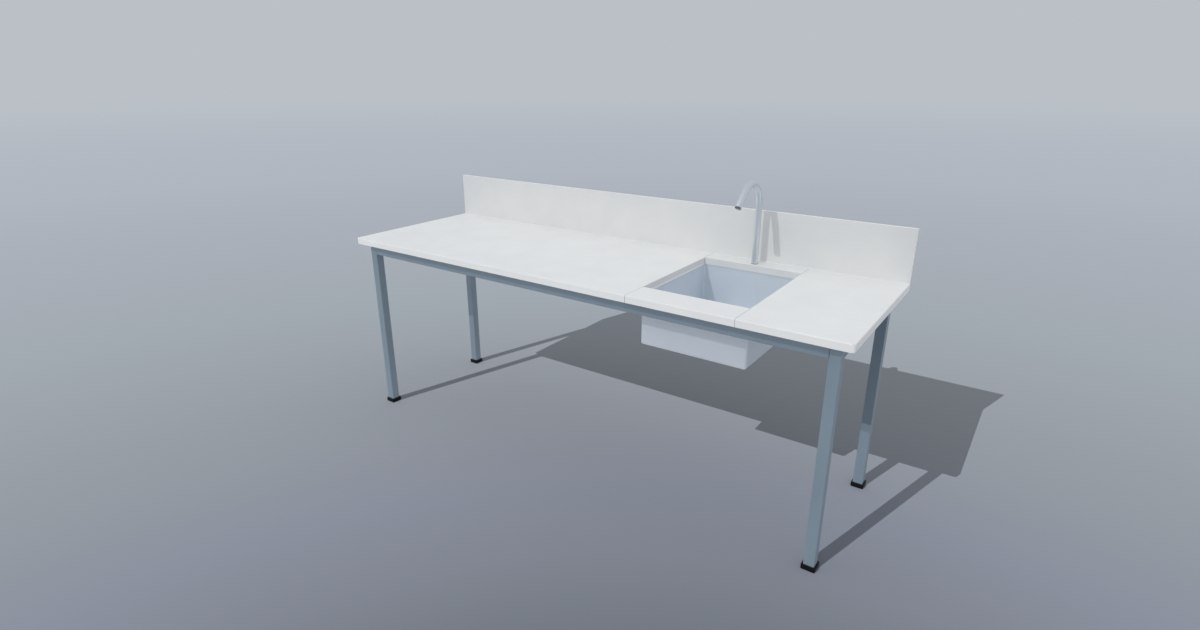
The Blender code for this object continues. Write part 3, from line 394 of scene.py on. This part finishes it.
def faces_in(geometry):
    return [item for item in geometry if isinstance(item, bmesh.types.BMFace)]


def round_edges(shape, edges, radius, segments):
    """Rounds edges to a radius in a number of steps."""
    bmesh.ops.bevel(
        shape,
        geom=edges,
        offset=radius,
        segments=segments,
        profile=ROUND_PROFILE,
        affect="EDGES",
        clamp_overlap=True,
        material=-1,
    )


def level_at(edge, height):
    """Whether both ends of an edge lie at this height."""
    return all(abs(vert.co.z - height) < SAME_PLACE for vert in edge.verts)


def uprights_of(shape, bottom, top):
    """Edges that lie neither at the bottom nor at the top."""
    return [edge for edge in shape.edges if not level_at(edge, bottom) and not level_at(edge, top)]


def flat_faces(shape, height):
    """Level faces at a height."""
    return [face for face in shape.faces if all(level_at(edge, height) for edge in face.edges)]


def draw_loop(shape, edges, centre, factors, rise):
    """Draws a loop of edges into a new band, scaled about a centre and raised.

    Returns the band's new loop.
    """
    drawn = bmesh.ops.extrude_edge_only(shape, edges=edges)["geom"]
    verts = verts_in(drawn)
    about = Matrix.Translation((-centre.x, -centre.y, -centre.z))
    bmesh.ops.scale(shape, verts=verts, vec=(factors[0], factors[1], 1.0), space=about)
    bmesh.ops.translate(shape, verts=verts, vec=(0.0, 0.0, rise))
    return [edge for edge in edges_in(drawn) if all(vert in verts for vert in edge.verts)]


def box_shape(low, high):
    """Plain block between two corners."""
    shape = bmesh.new()
    bmesh.ops.create_cube(shape, size=1.0)
    bmesh.ops.scale(shape, verts=shape.verts[:], vec=high - low)
    bmesh.ops.translate(shape, verts=shape.verts[:], vec=(high + low) / 2)
    return shape


def turned_shape(profile, centre, facets):
    """Solid or ring turned about an upright axis from points of radius and height."""
    shape = bmesh.new()
    verts = [shape.verts.new((centre.x + radius, centre.y, height)) for radius, height in profile]
    edges = [shape.edges.new(pair) for pair in zip(verts, verts[1:])]
    bmesh.ops.spin(
        shape,
        geom=verts + edges,
        cent=(centre.x, centre.y, 0.0),
        axis=(0.0, 0.0, 1.0),
        dvec=(0.0, 0.0, 0.0),
        angle=2 * math.pi,
        steps=facets,
        use_merge=True,
        use_duplicate=False,
    )
    return shape


def drawn_tube_end(shape, faces, rim_radius):
    """Takes the sharp edges off a tube's end face."""
    rims = {
        edge
        for face in faces
        for edge in face.edges
        if any(near not in faces for near in edge.link_faces)
    }
    round_edges(shape, list(rims), rim_radius, TUBE_RIM_STEPS)


def add_swan_neck(finishes):
    """Outlet tube: post, bend and straight end, open and smoothed at the outlet."""
    low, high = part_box("tap_spout")
    post_y = high.y - TUBE_RADIUS
    sweep = math.radians(NECK_SWEEP)
    foot = Matrix.Translation(((low.x + high.x) / 2, post_y, low.z))
    shape = bmesh.new()
    for radius in (TUBE_RADIUS, TUBE_RADIUS - TUBE_WALL):
        bmesh.ops.create_circle(shape, cap_ends=False, segments=NECK_FACETS, radius=radius, matrix=foot)
    foot_faces = bmesh.ops.bridge_loops(shape, edges=shape.edges[:])["faces"]
    post = bmesh.ops.extrude_face_region(shape, geom=foot_faces)["geom"]
    bmesh.ops.translate(shape, verts=verts_in(post), vec=(0.0, 0.0, NECK_BEND_START))
    bend = bmesh.ops.spin(
        shape,
        geom=faces_in(post),
        cent=(0.0, post_y - NECK_RADIUS, low.z + NECK_BEND_START),
        axis=(1.0, 0.0, 0.0),
        dvec=(0.0, 0.0, 0.0),
        angle=sweep,
        steps=NECK_BEND_STEPS,
        use_merge=False,
        use_duplicate=False,
    )["geom_last"]
    end = bmesh.ops.extrude_face_region(shape, geom=faces_in(bend))["geom"]
    onwards = Vector((0.0, -math.sin(sweep), math.cos(sweep))) * NECK_END_LENGTH
    bmesh.ops.translate(shape, verts=verts_in(end), vec=onwards)
    drawn_tube_end(shape, faces_in(end), TUBE_RIM_RADIUS)
    neck = add_piece("swan_neck", shape, finishes["chrome"], "tap_outlet", ["tap_spout"])
    cut_stop_screw_hole(neck, Vector((foot.translation.x, post_y, low.z + STOP_SCREW_UP)))


def cut_stop_screw_hole(neck, middle):
    """Drills the back of the post for the stop screw."""
    drill = bmesh.new()
    towards_back = Matrix.Rotation(-math.pi / 2, 4, "X")
    bmesh.ops.create_cone(
        drill,
        cap_ends=True,
        segments=THREAD_FACETS,
        radius1=STOP_SCREW_HOLE_RADIUS,
        radius2=STOP_SCREW_HOLE_RADIUS,
        depth=TUBE_RADIUS,
        matrix=Matrix.Translation(middle + Vector((0.0, TUBE_RADIUS, 0.0))) @ towards_back,
    )
    mesh = bpy.data.meshes.new("stop screw drill")
    drill.to_mesh(mesh)
    drill.free()
    cutter = bpy.data.objects.new("stop_screw_drill", mesh)
    cutter.hide_render = True
    cutter.hide_viewport = True
    bpy.context.scene.collection.objects.link(cutter)
    hole = neck.modifiers.new("stop screw hole", "BOOLEAN")
    hole.operation = "DIFFERENCE"
    hole.solver = "EXACT"
    hole.object = cutter


def add_stop_screw(finishes):
    """Grub screw with a hexagon socket, sunk a little into the back of the post."""
    low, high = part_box("tap_stop_screw")
    length = high.y - low.y - STOP_SCREW_SUNK
    shape = bmesh.new()
    bmesh.ops.create_circle(shape, cap_ends=False, segments=THREAD_FACETS, radius=STOP_SCREW_RADIUS)
    outside = shape.edges[:]
    bmesh.ops.create_circle(
        shape, cap_ends=False, segments=STOP_SOCKET_SIDES, radius=STOP_SOCKET_RADIUS
    )
    socket = [edge for edge in shape.edges if edge not in outside]
    bmesh.ops.bridge_loops(shape, edges=outside + socket)
    socket_floor = draw_loop(shape, socket, Vector(), (1.0, 1.0), -STOP_SOCKET_DEPTH)
    bmesh.ops.contextual_create(shape, geom=socket_floor)
    tip = draw_loop(shape, outside, Vector(), (1.0, 1.0), -length)
    bmesh.ops.contextual_create(shape, geom=tip)
    place = Vector(((low.x + high.x) / 2, high.y - STOP_SCREW_SUNK, (low.z + high.z) / 2))
    bmesh.ops.transform(
        shape,
        verts=shape.verts[:],
        matrix=Matrix.Translation(place) @ Matrix.Rotation(-math.pi / 2, 4, "X"),
    )
    add_piece("stop_screw", shape, finishes["zinc_steel"], "tap_outlet", ["tap_stop_screw"])


def add_pressed_bowl(finishes):
    """Bowl of one sheet: lip, flange, walls with pressed corners, a floor that falls to the waste."""
    low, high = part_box("sink_bowl")
    centre = (low + high) / 2
    width = high.x - low.x - 2 * BOWL_FLANGE
    depth = high.y - low.y - 2 * BOWL_FLANGE
    recess_z = low.z + BOWL_WALL + BOWL_RECESS_DEPTH
    floor_z = recess_z + BOWL_FLOOR_FALL
    half = Vector((width / 2, depth / 2, 0.0))
    shape = box_shape(
        Vector((centre.x - half.x, centre.y - half.y, floor_z)),
        Vector((centre.x + half.x, centre.y + half.y, high.z)),
    )
    round_edges(shape, uprights_of(shape, floor_z, high.z), BOWL_CORNER_RADIUS, BOWL_CORNER_STEPS)
    bottom = [edge for edge in shape.edges if level_at(edge, floor_z)]
    round_edges(shape, bottom, BOWL_FLOOR_RADIUS, BOWL_CORNER_STEPS)
    for height in (floor_z, high.z):
        bmesh.ops.delete(shape, geom=flat_faces(shape, height), context="FACES_ONLY")
    floor_edge = [edge for edge in shape.edges if edge.is_boundary and level_at(edge, floor_z)]
    rim = [edge for edge in shape.edges if edge.is_boundary and level_at(edge, high.z)]
    bmesh.ops.create_circle(
        shape,
        cap_ends=False,
        segments=len(floor_edge),
        radius=BOWL_RECESS_RADIUS,
        matrix=Matrix.Translation((centre.x, centre.y, recess_z)),
    )
    recess = [edge for edge in shape.edges if edge.is_wire]
    bmesh.ops.bridge_loops(shape, edges=floor_edge + recess)
    inwards = (BOWL_RECESS_RADIUS - BOWL_WALL) / BOWL_RECESS_RADIUS
    recess_floor = draw_loop(shape, recess, centre, (inwards, inwards), -BOWL_RECESS_DEPTH)
    to_hole = BOWL_HOLE_RADIUS / (BOWL_RECESS_RADIUS - BOWL_WALL)
    draw_loop(shape, recess_floor, centre, (to_hole, to_hole), 0.0)
    outwards = ((width + 2 * BOWL_FLANGE) / width, (depth + 2 * BOWL_FLANGE) / depth)
    flange = draw_loop(shape, rim, centre, outwards, 0.0)
    draw_loop(shape, flange, centre, (1.0, 1.0), -BOWL_LIP_DROP)
    round_edges(shape, flange, BOWL_LIP_RADIUS, BOWL_LIP_STEPS)
    round_edges(shape, rim, BOWL_RIM_RADIUS, BOWL_RIM_STEPS)
    bowl = add_piece("pressed_bowl", shape, finishes["stainless"], "bench", ["sink_bowl"])
    largest = max(bowl.data.polygons, key=lambda face: face.area)
    if largest.normal.dot(centre - largest.center) < 0:
        bowl.data.flip_normals()
    sheet = bowl.modifiers.new("sheet thickness", "SOLIDIFY")
    sheet.thickness = BOWL_WALL
    sheet.offset = -1.0
    sheet.use_even_offset = True


def add_foot_pads(finishes):
    """Moulded pads: rounded square blocks with a ball socket above and a recessed sole below."""
    for where in foot_places():
        low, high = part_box(f"foot_pad_{where}")
        centre = (low + high) / 2
        shape = box_shape(low, high)
        round_edges(shape, uprights_of(shape, low.z, high.z), PAD_CORNER_RADIUS, PAD_CORNER_STEPS)
        for height in (low.z, high.z):
            rim = [edge for edge in shape.edges if level_at(edge, height)]
            round_edges(shape, rim, PAD_EDGE_RADIUS, PAD_EDGE_STEPS)
        top = flat_faces(shape, high.z)
        sole = flat_faces(shape, low.z)
        bmesh.ops.inset_region(shape, faces=sole, thickness=PAD_SOLE_RIM, use_even_offset=True)
        bmesh.ops.inset_region(
            shape, faces=sole, thickness=PAD_SOLE_RECESS, depth=-PAD_SOLE_RECESS, use_even_offset=True
        )
        bmesh.ops.delete(shape, geom=top, context="FACES_ONLY")
        mouth_edge = [edge for edge in shape.edges if edge.is_boundary]
        bmesh.ops.create_circle(
            shape,
            cap_ends=False,
            segments=len(mouth_edge),
            radius=SOCKET_MOUTH_RADIUS,
            matrix=Matrix.Translation((centre.x, centre.y, high.z)),
        )
        mouth = [edge for edge in shape.edges if edge.is_wire]
        bmesh.ops.bridge_loops(shape, edges=mouth_edge + mouth)
        sink_ball_socket(shape, mouth, Vector((centre.x, centre.y, high.z)))
        stands_for = [f"foot_pad_{where}"]
        body = f"foot_{where}"
        add_piece(f"pad_{where}", shape, finishes["black_plastic"], body, stands_for)


def sink_ball_socket(shape, mouth, top):
    """Draws a pad's socket down round the stem's ball and closes it under the ball."""
    socket = BALL_RADIUS + SOCKET_GAP
    highest = math.degrees(math.acos(SOCKET_MOUTH_RADIUS / socket))
    loop = mouth
    radius = SOCKET_MOUTH_RADIUS
    height = top.z
    for step in range(SOCKET_STEPS + 1):
        angle = math.radians(highest + (SOCKET_LOWEST_ANGLE - highest) * step / SOCKET_STEPS)
        next_radius = socket * math.cos(angle)
        next_height = BALL_CENTRE_UP + socket * math.sin(angle)
        factor = next_radius / radius
        loop = draw_loop(shape, loop, top, (factor, factor), next_height - height)
        radius = next_radius
        height = next_height
    bmesh.ops.contextual_create(shape, geom=loop)


def foot_places():
    return [f"{row}_{side}" for row in ("front", "back") for side in ("left", "right")]


def add_stems(finishes):
    """Stems with their ball below and a real thread above it."""
    for where in foot_places():
        low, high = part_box(f"foot_stem_{where}")
        centre = (low + high) / 2
        meeting = math.degrees(math.acos(THREAD_ROOT_RADIUS / BALL_RADIUS))
        profile = [(0.0, BALL_CENTRE_UP - BALL_RADIUS)]
        for step in range(1, 2 * SOCKET_STEPS + 1):
            angle = math.radians(-90.0 + (90.0 + meeting) * step / (2 * SOCKET_STEPS))
            height = BALL_CENTRE_UP + BALL_RADIUS * math.sin(angle)
            profile.append((BALL_RADIUS * math.cos(angle), height))
        thread_start = profile[-1][1] + THREAD_PITCH
        profile.append((THREAD_ROOT_RADIUS, high.z - STEM_TOP_CHAMFER))
        profile.append((THREAD_ROOT_RADIUS - STEM_TOP_CHAMFER, high.z))
        profile.append((0.0, high.z))
        shape = turned_shape(profile, centre, THREAD_FACETS)
        cut_thread(shape, centre, thread_start, high.z - STEM_TOP_CHAMFER - THREAD_PITCH)
        stands_for = [f"foot_stem_{where}"]
        name = f"threaded_stem_{where}"
        add_piece(name, shape, finishes["zinc_steel"], f"stem_{where}", stands_for)


def cut_thread(shape, centre, bottom, top):
    """Winds the thread's ridge round the stem, its foot just under the stem's skin."""
    root = THREAD_ROOT_RADIUS - THREAD_SUNK
    half = THREAD_PITCH / 2
    corners = ((root, bottom - half), (THREAD_CREST_RADIUS, bottom), (root, bottom + half))
    verts = [shape.verts.new((centre.x + radius, centre.y, height)) for radius, height in corners]
    turns = int((top - bottom) / THREAD_PITCH)
    bmesh.ops.spin(
        shape,
        geom=[shape.faces.new(verts)],
        cent=(centre.x, centre.y, 0.0),
        axis=(0.0, 0.0, 1.0),
        dvec=(0.0, 0.0, THREAD_PITCH / THREAD_FACETS),
        angle=2 * math.pi * turns,
        steps=THREAD_FACETS * turns,
        use_merge=False,
        use_duplicate=False,
    )


def weld_bead(start, end):
    """One bead between two points, as a bmesh: a rod whose thickness ripples."""
    along = end - start
    count = max(2, round(along.length / BEAD_RIPPLE_LENGTH)) * BEAD_POINTS_PER_RIPPLE
    profile = [(0.0, 0.0)]
    for index in range(1, count):
        wave = math.sin(2 * math.pi * index / BEAD_POINTS_PER_RIPPLE)
        taper = min(1.0, index / BEAD_POINTS_PER_RIPPLE, (count - index) / BEAD_POINTS_PER_RIPPLE)
        radius = BEAD_RADIUS * math.sqrt(taper) * (1.0 + BEAD_RIPPLE * wave)
        profile.append((radius, along.length * index / count))
    profile.append((0.0, along.length))
    bead = turned_shape(profile, Vector(), BEAD_FACETS)
    turn = along.to_track_quat("Z", "Y").to_matrix().to_4x4()
    bmesh.ops.transform(bead, verts=bead.verts[:], matrix=Matrix.Translation(start) @ turn)
    bmesh.ops.remove_doubles(bead, verts=bead.verts[:], dist=MERGE_WITHIN)
    return bead


def bead_lines():
    """Start and end of each bead: under each rail's end and up its inner side."""
    lines = []
    leg_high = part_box("leg_front_left")[1]
    inner_x = leg_high.x
    for rail, inner_side in (("rail_front", 1), ("rail_back", 0)):
        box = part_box(rail)
        low, high = box
        side_y = box[inner_side].y
        for x in (-inner_x, inner_x):
            lines.append((Vector((x, low.y, low.z)), Vector((x, high.y, low.z))))
            lines.append((Vector((x, side_y, low.z)), Vector((x, side_y, high.z))))
    back_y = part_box("leg_back_left")[0].y
    for rail, inner_side in (("rail_end_left", 1), ("rail_end_right", 0)):
        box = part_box(rail)
        low, high = box
        side_x = box[inner_side].x
        for y in (leg_high.y, back_y):
            lines.append((Vector((low.x, y, low.z)), Vector((high.x, y, low.z))))
            lines.append((Vector((side_x, y, low.z)), Vector((side_x, y, high.z))))
    front_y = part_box("rail_front")[1].y
    for rail in ("cross_rail_sink_left", "cross_rail_sink_right", "cross_rail_middle"):
        low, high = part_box(rail)
        lines.append((Vector((low.x, front_y, low.z)), Vector((high.x, front_y, low.z))))
        lines.append((Vector((low.x, front_y, low.z)), Vector((low.x, front_y, high.z))))
    return lines


def add_weld_beads(finishes):
    """All the frame's beads as one painted piece."""
    joined = bmesh.new()
    for start, end in bead_lines():
        bead = weld_bead(start, end)
        carrier = bpy.data.meshes.new("bead")
        bead.to_mesh(carrier)
        bead.free()
        joined.from_mesh(carrier)
        bpy.data.meshes.remove(carrier)
    add_piece("weld_beads", joined, finishes["frame_paint"], "bench")


def add_joint_sealant(sealant):
    """Narrow lines of sealant in the V between neighbouring slabs, over the top and down the front."""
    low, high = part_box("worktop_left")
    strip_low, strip_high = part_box("sink_front_strip")
    back_strip_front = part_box("sink_back_strip")[0].y
    joints = {
        "left": (high.x + strip_low.x) / 2,
        "right": (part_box("worktop_right")[0].x + strip_high.x) / 2,
    }
    for side, x in joints.items():
        shape, line = sealant_section(x, high.y, high.z)
        run_sealant(shape, line, (0.0, back_strip_front - high.y, 0.0))
        add_piece(f"joint_sealant_back_{side}", shape, sealant, "bench")
        shape, line = sealant_section(x, strip_high.y, high.z)
        line = run_sealant(shape, line, (0.0, low.y + SLAB_EDGE_RADIUS - strip_high.y, 0.0))
        line = bmesh.ops.spin(
            shape,
            geom=line,
            cent=(x, low.y + SLAB_EDGE_RADIUS, high.z - SLAB_EDGE_RADIUS),
            axis=(1.0, 0.0, 0.0),
            dvec=(0.0, 0.0, 0.0),
            angle=math.pi / 2,
            steps=SLAB_EDGE_STEPS,
            use_merge=False,
            use_duplicate=False,
        )["geom_last"]
        run_sealant(shape, faces_in(line), (0.0, 0.0, low.z - high.z + SLAB_EDGE_RADIUS))
        add_piece(f"joint_sealant_front_{side}", shape, sealant, "bench")


def sealant_section(x, y, top):
    """Cross-section of a joint's sealant: wide at the surface, narrow below."""
    shape = bmesh.new()
    surface = top - JOINT_SEALANT_SUNK
    wide = JOINT_HALF_WIDTH - JOINT_SEALANT_SUNK / 2
    narrow = wide - JOINT_SEALANT_DEPTH / 2
    corners = (
        (x - wide, surface),
        (x + wide, surface),
        (x + narrow, surface - JOINT_SEALANT_DEPTH),
        (x - narrow, surface - JOINT_SEALANT_DEPTH),
    )
    verts = [shape.verts.new((corner_x, y, z)) for corner_x, z in corners]
    return shape, [shape.faces.new(verts)]


def run_sealant(shape, line, way):
    """Draws the sealant's end face along a way and returns the new end face."""
    drawn = bmesh.ops.extrude_face_region(shape, geom=line)["geom"]
    bmesh.ops.translate(shape, verts=verts_in(drawn), vec=way)
    return faces_in(drawn)


def add_upstand_sealant(sealant):
    """Hollow fillet of sealant along the foot of the upstand."""
    low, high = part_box("worktop_left")
    cove = cove_shape(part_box("worktop_right")[1].x - low.x)
    corner = Vector((low.x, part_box("upstand")[0].y, high.z))
    bmesh.ops.translate(cove, verts=cove.verts[:], vec=corner)
    add_piece("upstand_sealant", cove, sealant, "bench")


def add_cut_out_sealant(sealant):
    """Beads of sealant where the bowl's sides meet the slabs on the left and right of the cut-out."""
    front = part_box("sink_front_strip")[1].y
    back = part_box("sink_back_strip")[0].y
    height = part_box("worktop_left")[0].z
    sides = {"left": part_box("worktop_left")[1].x, "right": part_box("worktop_right")[0].x}
    along_y = Matrix.Rotation(math.pi / 2, 4, "X")
    for side, x in sides.items():
        bead = bmesh.new()
        bmesh.ops.create_cone(
            bead,
            cap_ends=True,
            segments=CUT_OUT_BEAD_FACETS,
            radius1=CUT_OUT_BEAD_RADIUS,
            radius2=CUT_OUT_BEAD_RADIUS,
            depth=back - front - 2 * CUT_OUT_BEAD_RADIUS,
            matrix=Matrix.Translation((x, (front + back) / 2, height)) @ along_y,
        )
        caps = [face for face in bead.faces if len(face.verts) == CUT_OUT_BEAD_FACETS]
        ends = [edge for face in caps for edge in face.edges]
        round_edges(bead, ends, CUT_OUT_BEAD_RADIUS / 2, CUT_OUT_BEAD_END_STEPS)
        add_piece(f"cut_out_sealant_{side}", bead, sealant, "bench")


def cove_shape(length):
    """Fillet along X from the origin: level and upright faces, and a hollow third side."""
    shape = bmesh.new()
    points = [(0.0, 0.0)]
    for step in range(COVE_STEPS + 1):
        angle = math.pi / 2 * step / COVE_STEPS
        points.append((-COVE_SIZE * (1.0 - math.sin(angle)), COVE_SIZE * (1.0 - math.cos(angle))))
    verts = [shape.verts.new((0.0, y, z)) for y, z in points]
    run_sealant(shape, [shape.faces.new(verts)], (length, 0.0, 0.0))
    return shape


def floor_material():
    """Matt floor with painted shade that pales with the distance; far off it glows in the backdrop's
    colour.
    """
    material = bpy.data.materials.new("studio floor with painted shade")
    material.use_nodes = True
    tree = material.node_tree
    tree.nodes.clear()
    place = add_node(tree, "ShaderNodeTexCoord")
    from_spot = add_node(
        tree,
        "ShaderNodeVectorMath",
        settings={"operation": "DISTANCE"},
        inputs={1: FLOOR_PAINTED_SHADE_SPOT},
        links={0: place.outputs["Object"]},
    )
    nearest = FLOOR_PAINTED_SHADE_TONES[0][0]
    farthest = FLOOR_PAINTED_SHADE_TONES[-1][0]
    reach = add_node(
        tree,
        "ShaderNodeMapRange",
        inputs={"From Min": nearest, "From Max": farthest},
        links={"Value": from_spot.outputs["Value"]},
    )
    # Painted shade on the floor: darkest at the spot in front of the bench, paler with the distance
    painted_shade_colours = add_node(tree, "ShaderNodeValToRGB", links={"Fac": reach.outputs["Result"]})
    ramp = painted_shade_colours.color_ramp
    ramp.elements[0].color = (*linear(FLOOR_PAINTED_SHADE_TONES[0][1]), 1.0)
    ramp.elements[1].color = (*linear(FLOOR_PAINTED_SHADE_TONES[-1][1]), 1.0)
    for distance, tone in FLOOR_PAINTED_SHADE_TONES[1:-1]:
        share = (distance - nearest) / (farthest - nearest)
        ramp.elements.new(share).color = (*linear(tone), 1.0)
    matt = add_node(tree, "ShaderNodeBsdfDiffuse", links={"Color": painted_shade_colours.outputs["Color"]})
    glow = add_node(tree, "ShaderNodeEmission", inputs={"Color": (*linear(BACKDROP_COLOUR), 1.0)})
    radius = add_node(
        tree,
        "ShaderNodeVectorMath",
        settings={"operation": "LENGTH"},
        links={0: place.outputs["Object"]},
    )
    fade = add_node(
        tree,
        "ShaderNodeMapRange",
        settings={"interpolation_type": "SMOOTHSTEP"},
        inputs={"From Min": FADE_START_RADIUS, "From Max": FADE_END_RADIUS},
        links={"Value": radius.outputs["Value"]},
    )
    mixed = add_node(
        tree,
        "ShaderNodeMixShader",
        links={0: fade.outputs["Result"], 1: matt.outputs["BSDF"], 2: glow.outputs["Emission"]},
    )
    add_node(tree, "ShaderNodeOutputMaterial", links={"Surface": mixed.outputs["Shader"]})
    return material


def add_floor():
    """Wide floor that ends in the backdrop's colour."""
    shape = bmesh.new()
    bmesh.ops.create_grid(shape, x_segments=1, y_segments=1, size=FLOOR_SIZE / 2)
    mesh = bpy.data.meshes.new("floor")
    shape.to_mesh(mesh)
    shape.free()
    mesh.materials.append(floor_material())
    floor = bpy.data.objects.new("floor", mesh)
    bpy.context.scene.collection.objects.link(floor)
    return floor


def add_sun(name, strength, travel):
    """Adds a lamp whose light travels one way and draws hard shadows."""
    sun = bpy.data.lights.new(name, "SUN")
    sun.energy = strength
    sun.angle = 0.0
    lamp = bpy.data.objects.new(name, sun)
    lamp.rotation_euler = Vector(travel).to_track_quat("-Z", "Y").to_euler()
    bpy.context.scene.collection.objects.link(lamp)
    return lamp


def add_suns(floor):
    """A sun for everything, one for the floor alone, and two fills that rise through the floor."""
    add_sun("sun", SUN_STRENGTH, SUN_TRAVEL)
    lit = bpy.data.collections.new("lit by the floor sun")
    lit.objects.link(floor)
    floor_sun = add_sun("floor sun", FLOOR_SUN_STRENGTH, SUN_TRAVEL)
    floor_sun.light_linking.receiver_collection = lit
    fill = add_sun("fill", FILL_STRENGTH, FILL_TRAVEL)
    fill.visible_glossy = False
    side_fill = add_sun("side fill", SIDE_FILL_STRENGTH, SIDE_FILL_TRAVEL)
    side_fill.visible_glossy = False
    floor.visible_shadow = False


def add_sky():
    """Soft sky that lights the bench, and a flat backdrop for the camera and for reflections.

    The sky is dark below the horizon, because the floor lets light from below through.
    """
    world = bpy.data.worlds.new("studio")
    bpy.context.scene.world = world
    world.use_nodes = True
    tree = world.node_tree
    tree.nodes.clear()
    place = add_node(tree, "ShaderNodeTexCoord")
    parts = add_node(tree, "ShaderNodeSeparateXYZ", links={"Vector": place.outputs["Generated"]})
    strength = add_node(
        tree,
        "ShaderNodeMapRange",
        inputs={"To Min": SKY_AT_HORIZON, "To Max": SKY_OVERHEAD},
        links={"Value": parts.outputs["Z"]},
    )
    above_floor = add_node(
        tree,
        "ShaderNodeMath",
        settings={"operation": "GREATER_THAN"},
        inputs={1: 0.0},
        links={0: parts.outputs["Z"]},
    )
    strength_above = add_node(
        tree,
        "ShaderNodeMath",
        settings={"operation": "MULTIPLY"},
        links={0: strength.outputs["Result"], 1: above_floor.outputs["Value"]},
    )
    light = add_node(
        tree,
        "ShaderNodeBackground",
        inputs={"Color": (*linear(SKY_COLOUR), 1.0)},
        links={"Strength": strength_above.outputs["Value"]},
    )
    backdrop = add_node(tree, "ShaderNodeBackground", inputs={"Color": (*linear(BACKDROP_COLOUR), 1.0)})
    path = add_node(tree, "ShaderNodeLightPath")
    seen = add_node(
        tree,
        "ShaderNodeMath",
        settings={"operation": "MAXIMUM"},
        links={0: path.outputs["Is Camera Ray"], 1: path.outputs["Is Transmission Ray"]},
    )
    seen_or_mirrored = add_node(
        tree,
        "ShaderNodeMath",
        settings={"operation": "MAXIMUM"},
        links={0: seen.outputs["Value"], 1: path.outputs["Is Glossy Ray"]},
    )
    mixed = add_node(
        tree,
        "ShaderNodeMixShader",
        links={
            0: seen_or_mirrored.outputs["Value"],
            1: light.outputs["Background"],
            2: backdrop.outputs["Background"],
        },
    )
    add_node(tree, "ShaderNodeOutputWorld", links={"Surface": mixed.outputs["Shader"]})


def add_camera():
    """Camera at the photograph's viewpoint."""
    lens = bpy.data.cameras.new("camera")
    lens.sensor_width = SENSOR_WIDTH
    lens.lens = lens.sensor_width / 2 / math.tan(math.radians(FIELD_ACROSS) / 2)
    camera = bpy.data.objects.new("camera", lens)
    camera.location = CAMERA_PLACE
    camera.rotation_euler = (math.radians(CAMERA_PITCH), 0.0, math.radians(CAMERA_YAW))
    bpy.context.scene.collection.objects.link(camera)
    bpy.context.scene.camera = camera


bpy.context.scene.view_settings.view_transform = "Standard"
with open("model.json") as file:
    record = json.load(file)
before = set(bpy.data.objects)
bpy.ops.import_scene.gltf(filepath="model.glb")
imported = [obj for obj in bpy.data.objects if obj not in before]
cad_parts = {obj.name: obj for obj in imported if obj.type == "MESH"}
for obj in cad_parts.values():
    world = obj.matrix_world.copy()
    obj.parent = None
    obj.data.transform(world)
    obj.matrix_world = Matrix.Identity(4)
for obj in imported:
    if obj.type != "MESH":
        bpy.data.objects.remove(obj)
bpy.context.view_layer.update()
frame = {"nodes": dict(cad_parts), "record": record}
add_camera()
finishes = dress_nodes(frame)
add_swan_neck(finishes)
add_stop_screw(finishes)
add_pressed_bowl(finishes)
add_foot_pads(finishes)
add_stems(finishes)
add_weld_beads(finishes)
add_joint_sealant(sealant_material("silicone sealant, grey", "#7E858C"))
white_sealant = sealant_material("silicone sealant, white", "#E6E9EB")
add_upstand_sealant(white_sealant)
add_cut_out_sealant(white_sealant)
floor = add_floor()
add_suns(floor)
add_sky()
